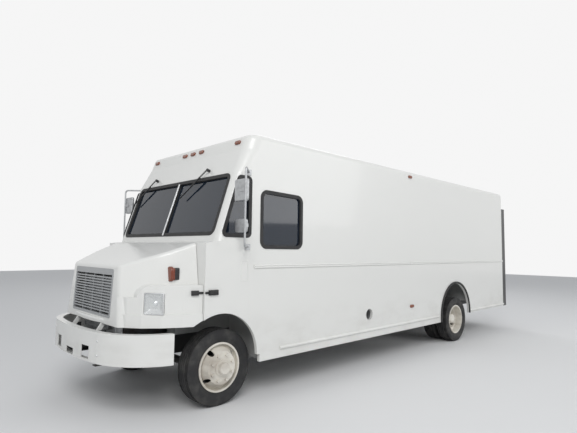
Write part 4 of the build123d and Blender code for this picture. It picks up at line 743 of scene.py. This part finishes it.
class Palette:
    """Every finish on the van, made once."""

    def __init__(self) -> None:
        """Make the materials."""
        finishes = (
            Paint("body_white", (0.76, 0.76, 0.735)),
            Paint("wheel_white", (0.74, 0.71, 0.64), 0.42, 0.1, 0.75, 0.9, (0.26, 0.21, 0.16)),
            Paint("chassis_black", (0.022, 0.022, 0.023), 0.45, 0.1, 0.5, 0.9, (0.10, 0.09, 0.08)),
            Paint("post_black", (0.018, 0.018, 0.019), 0.35, 0.2, 0.1),
            Paint("floor_grey", (0.34, 0.345, 0.34), 0.5, 0.0, 0.3),
            Rubber("seal_rubber", (0.017, 0.017, 0.018), 0.6, 0.12),
            Rubber("tyre_rubber", (0.02, 0.02, 0.021), 0.78, 0.35, 9.0),
            Glass("cab_glass", (0.010, 0.018, 0.032), 0.87),
            Glass("lens_glass", (0.85, 0.87, 0.86), 0.22),
            Metal("mirror_silver", (0.86, 0.88, 0.9), 0.03, 1.0, 0.0),
            Metal("bright_metal", (0.72, 0.73, 0.74), 0.22, 1.0, 0.1),
            Metal("dull_alloy", (0.48, 0.49, 0.5), 0.42, 0.9, 0.25),
            Metal("cast_iron", (0.10, 0.10, 0.10), 0.62, 0.6, 0.5, 18.0, (0.09, 0.055, 0.03)),
            Plastic("grille_silver", (0.34, 0.35, 0.355), 0.38, 0.0002, 0.2),
            Plastic("black_plastic", (0.025, 0.025, 0.027), 0.5),
            Plastic("dash_grey", (0.06, 0.06, 0.065), 0.65, 0.0005),
            Plastic("plate_white", (0.7, 0.7, 0.68), 0.4),
            HousedLens("amber_lens", (0.19, 0.036, 0.012), FRONT_AXLE_X + 0.535),
            Lens("marker_amber", (0.26, 0.055, 0.014)),
            Lens("red_lens", (0.42, 0.012, 0.012)),
            Fabric("seat_cloth", (0.035, 0.037, 0.045)),
        )
        self.made = {finish.name: finish.make() for finish in finishes}

    def __getitem__(self, name: str) -> bpy.types.Material:
        """A finish by its name."""
        return self.made[name]


NODE_FINISHES = {
    "body_white": (
        "cab_front", "side_wall_left", "side_wall_right", "roof_cap", "rear_frame", "side_rails",
        "front_bumper", "hood_shell", "entry_door", "rear_door_left", "rear_door_right",
    ),
    "wheel_white": ("rim_front_left", "rim_front_right", "rims_rear_left", "rims_rear_right"),
    "chassis_black": (
        "frame_rails", "leaf_springs", "front_axle", "rear_axle", "drive_shaft", "rear_bumper", "seat_base",
        "knuckle_left", "knuckle_right",
    ),
    "post_black": ("rear_posts",),
    "floor_grey": ("floor", "splash_panels"),
    "seal_rubber": ("window_seals", "wheel_flares"),
    "tyre_rubber": ("tyre_front_left", "tyre_front_right", "tyres_rear_left", "tyres_rear_right"),
    "cab_glass": ("cab_glass", "entry_glass", "rear_glass_left", "rear_glass_right"),
    "mirror_silver": ("mirror_glass",),
    "dull_alloy": ("radiator", "fuel_tank", "mirrors"),
    "cast_iron": ("engine_block",),
    "grille_silver": ("grille",),
    "lens_glass": ("headlamps",),
    "amber_lens": ("turn_lamps",),
    "marker_amber": ("marker_lamps",),
    "red_lens": ("tail_lamps",),
    "dash_grey": ("dashboard",),
    "seat_cloth": ("driver_seat",),
}


def dress_frame(frame: dict, palette: Palette) -> None:
    """Give every CAD node its finish.

    Args:
        palette: the finishes.
    """
    for finish, nodes in NODE_FINISHES.items():
        for node in nodes:
            obj = frame["nodes"][node]
            for slot in obj.material_slots:
                slot.material = palette[finish]
            if not obj.material_slots:
                obj.data.materials.append(palette[finish])


# The studio

@dataclass
class Studio:
    """The pale floor, soft lamps, white world and the photograph's camera."""

    camera_place: Triple = (2.872 + FRONT_AXLE_X, 5.001, 1.648)
    camera_yaw: float = 225.72
    camera_pitch: float = 4.28
    camera_roll: float = 0.71
    focal_pixels: float = 446.586
    image_width: float = 577.0
    sensor: float = 36.0
    floor_size: float = 60.0
    backdrop: float = 0.92
    key_power: float = 680.0
    fill_power: float = 300.0
    sky: float = 0.47

    def floor(self) -> None:
        """The floor, which shows white to the camera and keeps the van's shadow."""
        deselect()
        bpy.ops.mesh.primitive_plane_add(size=self.floor_size, location=(0, 0, 0))
        floor = bpy.context.object
        floor.name = "studio_floor"
        shader = Shader("studio_floor")
        cloud = shader.noise(0.6, 2.0)
        shader.set(
            Base_Color=shader.blend(cloud * 0.1, rgb(0.80, 0.80, 0.80), rgb(0.76, 0.76, 0.76)),
            Roughness=0.85,
        )
        floor.data.materials.append(shader.material)

    def world(self) -> None:
        """A soft grey light from all round that looks near white where it is seen."""
        world = bpy.data.worlds.new("studio_world")
        bpy.context.scene.world = world
        world.use_nodes = True
        tree = world.node_tree
        tree.nodes.clear()
        output = tree.nodes.new("ShaderNodeOutputWorld")
        mix = tree.nodes.new("ShaderNodeMixShader")
        lit = tree.nodes.new("ShaderNodeBackground")
        seen = tree.nodes.new("ShaderNodeBackground")
        path = tree.nodes.new("ShaderNodeLightPath")
        lit.inputs["Color"].default_value = rgb(0.93, 0.96, 1.0)
        lit.inputs["Strength"].default_value = self.sky
        seen.inputs["Color"].default_value = rgb(self.backdrop, self.backdrop, self.backdrop)
        seen.inputs["Strength"].default_value = 1.0
        total = tree.nodes.new("ShaderNodeMath")
        total.operation = "MAXIMUM"
        shiny = tree.nodes.new("ShaderNodeMath")
        shiny.operation = "MAXIMUM"
        tree.links.new(path.outputs["Is Camera Ray"], total.inputs[0])
        tree.links.new(path.outputs["Is Transmission Ray"], total.inputs[1])
        tree.links.new(total.outputs[0], shiny.inputs[0])
        tree.links.new(path.outputs["Is Glossy Ray"], shiny.inputs[1])
        tree.links.new(shiny.outputs[0], mix.inputs[0])
        tree.links.new(lit.outputs[0], mix.inputs[1])
        tree.links.new(seen.outputs[0], mix.inputs[2])
        tree.links.new(mix.outputs[0], output.inputs[0])

    def lamp(self, name: str, place: Triple, aim: Triple, size: float, power: float) -> None:
        """One square soft lamp.

        Args:
            name: the lamp's name.
            place: where it hangs.
            aim: where it points.
            size: its side.
            power: its power in watts.
        """
        deselect()
        bpy.ops.object.light_add(type="AREA", location=place)
        lamp = bpy.context.object
        lamp.name = name
        lamp.data.size = size
        lamp.data.energy = power
        lamp.rotation_euler = (Vector(aim) - Vector(place)).to_track_quat("-Z", "Y").to_euler()

    def camera(self) -> None:
        """The photograph's camera."""
        yaw, pitch, roll = (math.radians(a) for a in (self.camera_yaw, self.camera_pitch, self.camera_roll))
        ahead = Vector((math.cos(yaw) * math.cos(pitch), math.sin(yaw) * math.cos(pitch), math.sin(pitch)))
        right = ahead.cross(Vector((0, 0, 1))).normalized()
        up = right.cross(ahead)
        turned_right = right * math.cos(roll) + up * math.sin(roll)
        turned_up = up * math.cos(roll) - right * math.sin(roll)
        data = bpy.data.cameras.new("photo_camera")
        camera = bpy.data.objects.new("photo_camera", data)
        bpy.context.scene.collection.objects.link(camera)
        data.sensor_width = self.sensor
        data.lens = self.focal_pixels * self.sensor / self.image_width
        data.clip_end = 200.0
        axes = Matrix((turned_right, turned_up, -ahead)).transposed()
        camera.matrix_world = Matrix.Translation(self.camera_place) @ axes.to_4x4()
        bpy.context.scene.camera = camera

    def build(self) -> None:
        """Set up the whole studio."""
        self.floor()
        self.world()
        self.lamp("key_lamp", (9.0, 8.0, 8.5), (0.5, 0.0, 1.2), 6.0, self.key_power)
        self.lamp("fill_lamp", (-6.0, 10.0, 6.0), (-1.0, 0.0, 1.4), 7.0, self.fill_power)
        self.lamp("rear_lamp", (-9.0, -9.0, 8.0), (0.0, 0.0, 1.4), 6.0, self.fill_power)
        self.camera()
        bpy.context.scene.view_settings.view_transform = "Standard"


# Sub-assemblies

@dataclass
class Assembly:
    """A group of pieces that stand in the CAD frame."""

    def build(self, palette: Palette) -> list[str]:
        """Make and dress the pieces.

        Args:
            palette: the van's finishes.

        Returns:
            The names of the pieces made.
        """
        raise NotImplementedError


@dataclass
class Tyres(Assembly):
    """Six road tyres with grooved treads and lugged shoulders."""

    steps: int = 72
    front_y: float = 0.947
    rear_y: float = 0.9175
    dual_half: float = 0.1325
    tread_r: float = 0.3995
    shoulder_r: float = 0.394
    shoulder_y: Pair = (0.058, 0.095)
    wall: tuple[Pair, ...] = (
        (0.2476, 0.0845), (0.262, 0.0846), (0.268, 0.0890), (0.273, 0.0900), (0.303, 0.1060), (0.306, 0.1078),
        (0.312, 0.1086), (0.333, 0.1120), (0.357, 0.1112), (0.374, 0.1065), (0.385, 0.1005), (0.3955, 0.0930),
        (0.3990, 0.0865),
    )
    grooves: tuple[float, ...] = (-0.054, -0.018, 0.018, 0.054)
    groove_half: float = 0.0045
    groove_depth: float = 0.011
    lug_depth: float = 0.006

    def profile(self) -> list[Pair]:
        """The tyre's closed section as (radius, y) points.

        Returns:
            The points, first and last alike.
        """
        points = [(r, -y) for r, y in self.wall]
        deep = self.tread_r - self.groove_depth
        for y in self.grooves:
            low, high = y - self.groove_half, y + self.groove_half
            points += [(self.tread_r, low), (deep, low + 0.001), (deep, high - 0.001), (self.tread_r, high)]
        points += reversed(self.wall)
        return points + [points[0]]

    def tyre(self, name: str) -> Piece:
        """One tyre about the origin.

        Args:
            name: the piece's name.

        Returns:
            The tyre.
        """
        piece = Piece.turned(name, self.profile(), self.steps)
        pitch = math.tau / self.steps

        def shoulder(centre: Vector, normal: Vector) -> bool:
            """Say yes to every second face round the shoulders."""
            turn = math.atan2(centre.z, centre.x) % math.tau
            low, high = self.shoulder_y
            outer = centre.xz.length > self.shoulder_r and low < abs(centre.y) < high
            return outer and int(turn / pitch) % 2 == 0

        piece.work(shoulder, lambda: bpy.ops.mesh.inset(
            thickness=0.0012, depth=-self.lug_depth, use_individual=True, use_even_offset=True))
        return piece.smooth(0.5)

    def build(self, palette: Palette) -> list[str]:
        """Make the tyres.

        Args:
            palette: the van's finishes.

        Returns:
            The names of the pieces made.
        """
        master = self.tyre("tyre_master")
        made = []
        for side in Side:
            front = master.copy(f"road_tyre_front_{side.word}")
            front.shift((FRONT_AXLE_X, side.value * self.front_y, AXLE_Z))
            rear = master.copy(f"road_tyres_rear_{side.word}")
            rear.shift((REAR_AXLE_X, side.value * (self.rear_y - self.dual_half), AXLE_Z))
            outer = master.copy("outer")
            outer.shift((REAR_AXLE_X, side.value * (self.rear_y + self.dual_half), AXLE_Z))
            rear.join([outer])
            for piece, body, node in (
                (front, f"wheel_front_{side.word}", f"tyre_front_{side.word}"),
                (rear, f"wheels_rear_{side.word}", f"tyres_rear_{side.word}"),
            ):
                piece.dress(body, palette["tyre_rubber"], "tyre_rubber")
                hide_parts(node)
                made.append(piece.obj.name)
        bpy.data.objects.remove(master.obj)
        return made


@dataclass
class Headlamps(Assembly):
    """Square sealed headlamps: a bezel, a stepped bowl, a ribbed lens and a lamp unit."""

    width: float = 0.194
    height: float = 0.210
    depth: float = 0.056
    centre: Triple = (FRONT_AXLE_X + 0.738, 0.952, 1.108)
    turn: float = math.radians(-50.0)
    ribs: int = 9
    bezel: float = 0.009
    lens_y: Pair = (-0.009, -0.004)
    unit: tuple[Pair, ...] = (
        (0.0001, -0.044), (0.026, -0.044), (0.024, -0.030), (0.014, -0.022), (0.0001, -0.020),
    )

    def build(self, palette: Palette) -> list[str]:
        """Make the lamps.

        Args:
            palette: the van's finishes.

        Returns:
            The names of the pieces made.
        """
        half, tall = self.width / 2, self.height / 2
        pan = Piece.box("lamp_pan", (-half, -self.depth, -tall), (half, -0.001, tall))
        pan.work(
            lambda centre, normal: normal.y > 0.9,
            lambda: bpy.ops.mesh.inset(thickness=0.008, depth=0.0),
            lambda: bpy.ops.mesh.extrude_region_move(TRANSFORM_OT_translate={"value": (0, -0.009, 0)}),
            lambda: bpy.ops.mesh.inset(thickness=0.006, depth=0.0),
            lambda: bpy.ops.mesh.extrude_region_move(TRANSFORM_OT_translate={"value": (0, -0.034, 0)}),
            lambda: bpy.ops.transform.resize(value=(0.62, 1.0, 0.62)),
        )
        pan.bevel(0.003, 2).smooth()
        unit = Piece.turned("lamp_unit", self.unit, 32).smooth()
        rim = self.bezel
        lens = Piece.box(
            "lamp_lens", (-half + rim, self.lens_y[0], -tall + rim), (half - rim, self.lens_y[1], tall - rim)
        )
        lens.edit(lambda: bpy.ops.mesh.subdivide(number_cuts=2 * self.ribs))
        cell = (self.width - 2 * rim) / (2 * self.ribs + 1)
        lens.work(
            lambda centre, normal: normal.y > 0.9 and int((centre.x + half) / cell) % 2 == 0,
            lambda: bpy.ops.mesh.extrude_region_move(TRANSFORM_OT_translate={"value": (0, 0.0015, 0)}),
        )
        made = []
        for piece, finish in ((pan, "bright_metal"), (unit, "mirror_silver"), (lens, "lens_glass")):
            piece.turn(self.turn, "Z", (0, 0, 0)).shift(self.centre)
            other = piece.mirrored(piece.obj.name + "_right")
            for each in (piece, other):
                each.dress("hood", palette[finish], "clear_lens")
                made.append(each.obj.name)
        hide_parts("headlamps")
        return made


@dataclass
class HoodLatches(Assembly):
    """Black rubber pull straps across the joint of hood and cab."""

    level: float = 1.206
    catch_x: Pair = (0.150, 0.262)
    band_front_x: float = 0.302
    plate_half: float = 0.026
    band_half: float = 0.011
    anchor: Triple = (FRONT_AXLE_X + 0.385, 1.1237, 1.206)
    lean: float = math.radians(-21.6)

    def build(self, palette: Palette) -> list[str]:
        """Make both sides' latches.

        Args:
            palette: the van's finishes.

        Returns:
            The names of the pieces made.
        """
        z, plate, thin = self.level, self.plate_half, self.band_half
        rear, front = (FRONT_AXLE_X + x for x in self.catch_x)
        tip = FRONT_AXLE_X + self.band_front_x
        side = HALF_WIDTH
        catch = Piece.box("latch_catch", (rear, side, z - plate), (front, side + 0.022, z + plate))
        catch.sink(lambda centre, normal: normal.y > 0.9, 0.007, (0, 0.006, 0))
        band = Piece.box("latch_band", (front, side + 0.003, z - thin), (tip, side + 0.013, z + thin))
        catch.bevel(0.004).join([band.bevel(0.002)]).smooth()
        strap = Piece.box("latch_anchor", (-0.038, 0.001, -0.024), (0.038, 0.021, 0.024))
        strap.sink(lambda centre, normal: normal.y > 0.9, 0.007, (0, 0.005, 0))
        tail = Piece.box("latch_tail", (-0.084, 0.003, -thin), (-0.036, 0.012, thin))
        strap.bevel(0.004).join([tail.bevel(0.002)]).smooth()
        strap.turn(self.lean, "Z", (0, 0, 0)).shift(self.anchor)
        made = []
        for piece, body in ((catch, "chassis"), (strap, "hood")):
            for each in (piece, piece.mirrored(piece.obj.name + "_right")):
                each.dress(body, palette["seal_rubber"], "black_rubber")
                made.append(each.obj.name)
        return made


@dataclass
class Screen(Assembly):
    """Two top-hung wipers and the bright strip on the windshield's divider."""

    slope: float = -0.3142
    swing: float = -0.92
    pivots: tuple[float, ...] = (-0.636, 0.599)
    pivot_x: float = FRONT_AXLE_X - 0.078
    pivot_z: float = 2.575
    arm: float = 0.34
    blade: float = 0.40

    def wiper(self, name: str, y: float) -> list[Piece]:
        """One wiper: motor cap and paired arms, then its blade.

        Args:
            name: the start of the pieces' names.
            y: where its pivot is across the van.

        Returns:
            The arm and the blade.
        """
        arm = Piece.rod(name + "_arm", (-0.010, 0, 0), 0.018, 0.044, Along.X, 20).bevel(0.003)
        bars = [
            Piece.box("bar", (0.004, shift - 0.0035, -self.arm), (0.010, shift + 0.0035, 0.012)).bevel(0.001)
            for shift in (-0.009, 0.009)
        ]
        arm.join(bars)
        blade = Piece.box(name + "_blade", (-0.006, -0.006, -self.arm - self.blade / 2),
                          (0.004, 0.006, -self.arm + self.blade / 2))
        blade.sink(lambda centre, normal: normal.x > 0.9, 0.002, (0.004, 0, 0)).bevel(0.0012)
        for piece in (arm, blade):
            piece.turn(self.swing, "X", (0, 0, 0)).turn(self.slope, "Y", (0, 0, 0))
            piece.shift((self.pivot_x, y, self.pivot_z)).smooth()
        return [arm, blade]

    def build(self, palette: Palette) -> list[str]:
        """Make the wipers and the strip.

        Args:
            palette: the van's finishes.

        Returns:
            The names of the pieces made.
        """
        made = []
        for word, y in zip(("right", "left"), self.pivots):
            for piece, finish in zip(self.wiper(f"wiper_{word}", y), ("black_plastic", "seal_rubber")):
                piece.dress("chassis", palette[finish])
                made.append(piece.obj.name)
        strip = Piece.box("divider_strip", (-0.002, -0.015, -0.345), (0.004, 0.015, 0.345))
        strip.sink(lambda centre, normal: normal.x > 0.9, 0.004, (0.003, 0, 0)).bevel(0.001)
        strip.turn(self.slope, "Y", (0, 0, 0)).shift((FRONT_AXLE_X + 0.0405, 0, 2.133)).smooth()
        strip.dress("chassis", palette["bright_metal"])
        return made + [strip.obj.name]


@dataclass
class DriverSeat(Assembly):
    """The driver's padded cushion and back, puffed by a cloth simulation."""

    voxel: float = 0.010
    pressure: float = 4.0
    frames: int = 20
    most: float = 0.014
    seam: float = 0.006
    channels: Pair = (0.39, 0.65)
    channel_depth: float = 0.02
    cushion: tuple[Triple, Triple] = ((2.4175, 0.290, 1.190), (2.8575, 0.750, 1.276))
    back: tuple[Triple, Triple] = ((2.3475, 0.295, 1.301), (2.4235, 0.745, 1.870))

    def seams(self, form: tuple[Triple, Triple], face: int) -> Callable[[Vector], bool]:
        """Where a form's seams run: round its middle, and as two channels in one face.

        Args:
            form: the form's low and high corners.
            face: the axis that the channelled face looks along.

        Returns:
            A test that says yes to a point on a seam.
        """
        low, high = form
        middle = (low[face] + high[face]) / 2

        def on_seam(point: Vector) -> bool:
            """Say yes to a point on a seam."""
            beside = min(abs(point.y - y) for y in self.channels) < self.seam
            near_face = point[face] > high[face] - self.channel_depth
            return abs(point[face] - middle) < self.seam or (near_face and beside)

        return on_seam

    def puff(self, piece: Piece, seams: Callable[[Vector], bool]) -> Piece:
        """Blow a closed form out between its seams.

        Args:
            piece: the form to start from.
            seams: says yes to a point on a seam, which stays.

        Returns:
            The padded piece.
        """
        piece.bevel(0.03, 4)
        piece.active()
        obj = piece.obj
        obj.data.remesh_voxel_size = self.voxel
        bpy.ops.object.voxel_remesh()
        start = [point.co.copy() for point in obj.data.vertices]
        group = obj.vertex_groups.new(name="seams")
        group.add([index for index, place in enumerate(start) if seams(place)], 1.0, "REPLACE")
        cloth = obj.modifiers.new("padding", "CLOTH")
        cloth.settings.use_pressure = True
        cloth.settings.uniform_pressure_force = self.pressure
        cloth.settings.effector_weights.gravity = 0.0
        cloth.settings.vertex_group_mass = group.name
        cloth.point_cache.frame_end = self.frames
        for step in range(1, self.frames + 1):
            bpy.context.scene.frame_set(step)
        bpy.ops.object.modifier_apply(modifier=cloth.name)
        for point, place in zip(obj.data.vertices, start):
            move = point.co - place
            if move.length > self.most:
                point.co = place + move.normalized() * self.most
        bpy.context.scene.frame_set(1)
        rounder = obj.modifiers.new("finer", "SUBSURF")
        rounder.levels = 1
        bpy.ops.object.modifier_apply(modifier=rounder.name)
        return piece.smooth(1.2)

    def build(self, palette: Palette) -> list[str]:
        """Make the seat.

        Args:
            palette: the van's finishes.

        Returns:
            The names of the pieces made.
        """
        cushion = self.puff(Piece.box("padded_cushion", *self.cushion), self.seams(self.cushion, 2))
        back = self.puff(Piece.box("padded_back", *self.back), self.seams(self.back, 0))
        for piece in (cushion, back):
            piece.dress("chassis", palette["seat_cloth"], "seat_fabric")
        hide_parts("driver_seat")
        return [cushion.obj.name, back.obj.name]


@dataclass
class SmallFittings(Assembly):
    """Bumper bolts, side recess, filler cap and rear door handles."""

    bolt_r: float = 0.011
    bolts: tuple[Pair, ...] = ((1.1275, 0.60), (1.1640, 0.21))
    bolt_levels: tuple[float, ...] = (0.615, 0.750)
    recess: tuple[Triple, Triple] = (
        (FRONT_AXLE_X - 0.247, 1.178, 1.300), (FRONT_AXLE_X - 0.149, 1.1825, 1.527),
    )
    cap_centre: Triple = (FRONT_AXLE_X - 2.499, 1.088, 0.741)
    cap_r: float = 0.046
    knurl: float = math.radians(10)
    door_x: float = FRONT_AXLE_X - 7.700
    handle_y: Pair = (0.055, 0.105)

    def build(self, palette: Palette) -> list[str]:
        """Make the fittings.

        Args:
            palette: the van's finishes.

        Returns:
            The names of the pieces made.
        """
        made = []

        def keep(piece: Piece, body: str, finish: str) -> None:
            """Smooth a piece, dress it and note its name."""
            piece.smooth().dress(body, palette[finish])
            made.append(piece.obj.name)

        heads = [
            Piece.rod("bolt", (FRONT_AXLE_X + x, side.value * y, z), self.bolt_r, 0.010, Along.X, 6)
            .bevel(0.0015)
            for x, y in self.bolts for z in self.bolt_levels for side in Side
        ]
        heads[0].obj.name = "bumper_bolts"
        keep(heads[0].join(heads[1:]), "chassis", "bright_metal")
        recess = Piece.box("side_recess", *self.recess)
        recess.sink(lambda centre, normal: normal.y > 0.9, 0.010, (0, -0.003, 0)).bevel(0.001)
        keep(recess, "chassis", "body_white")
        cap = Piece.rod("filler_cap", self.cap_centre, self.cap_r, 0.030, Along.Y, 36)
        cap.work(
            lambda centre, normal: abs(normal.y) < 0.1
            and int(math.atan2(normal.z, normal.x) // self.knurl) % 2 == 0,
            lambda: bpy.ops.mesh.inset(thickness=0.001, depth=-0.003, use_individual=True),
        )
        keep(cap.bevel(0.002), "chassis", "black_plastic")
        for side in Side:
            near, far = sorted(side.value * y for y in self.handle_y)
            x = self.door_x
            handle = Piece.box(f"rear_handle_{side.word}", (x - 0.006, near, 1.20), (x, far, 1.36))
            grip = Piece.box("grip", (x - 0.044, near + 0.017, 1.16), (x - 0.030, far - 0.017, 1.32))
            post = Piece.rod("post", (x - 0.020, (near + far) / 2, 1.30), 0.010, 0.034, Along.X, 20)
            handle.bevel(0.003).join([grip.bevel(0.004), post])
            keep(handle, f"rear_door_{side.word}", "dull_alloy")
        return made


@dataclass
class FrontFittings(Assembly):
    """Two tow eyes on the rail ends and the meshed cooler on the radiator."""

    eye_r: float = 0.034
    bar_r: float = 0.011
    eye_x: float = FRONT_AXLE_X + 1.040
    eye_y: float = 0.30
    eye_z: float = 0.668
    cooler: tuple[Triple, Triple] = (
        (FRONT_AXLE_X + 0.880, -0.30, 0.79), (FRONT_AXLE_X + 0.908, 0.30, 0.93),
    )
    section: int = 12
    cells: int = 17

    def build(self, palette: Palette) -> list[str]:
        """Make the eyes and the cooler.

        Args:
            palette: the van's finishes.

        Returns:
            The names of the pieces made.
        """
        ring = [
            (self.eye_r + self.bar_r * math.cos(turn), self.bar_r * math.sin(turn))
            for turn in (math.tau * step / self.section for step in range(self.section))
        ]
        made = []
        for side in Side:
            eye = Piece.turned(f"tow_eye_{side.word}", ring + ring[:1], 32)
            eye.shift((self.eye_x, side.value * self.eye_y, self.eye_z)).smooth(1.0)
            made.append(eye.dress("chassis", palette["chassis_black"]).obj.name)
        core = Piece.box("front_cooler", *self.cooler).bevel(0.004, 2)
        core.work(
            lambda centre, normal: normal.x > 0.99,
            lambda: bpy.ops.mesh.inset(thickness=0.010, depth=0.0),
            lambda: bpy.ops.mesh.subdivide(number_cuts=self.cells),
            lambda: bpy.ops.mesh.inset(thickness=0.0012, depth=-0.005, use_individual=True),
        )
        made.append(core.smooth().dress("chassis", palette["dull_alloy"]).obj.name)
        return made


ASSEMBLIES = (
    Tyres,
    Headlamps,
    HoodLatches,
    Screen,
    DriverSeat,
    SmallFittings,
    FrontFittings,
)


# The whole van

def main() -> None:
    """Dress the frame, build the pieces and light them."""
    logging.basicConfig(level=logging.INFO, format="%(name)s: %(message)s")
    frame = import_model()
    palette = Palette()
    dress_frame(frame, palette)
    LOG.info("finishes on %d CAD nodes", len(frame["nodes"]))
    for assembly in ASSEMBLIES:
        names = assembly().build(palette)
        LOG.info("%s: %s", assembly.__name__, ", ".join(names))
    Studio().build()
    LOG.info("studio ready")
    deselect()


if __name__ == "__main__":
    main()
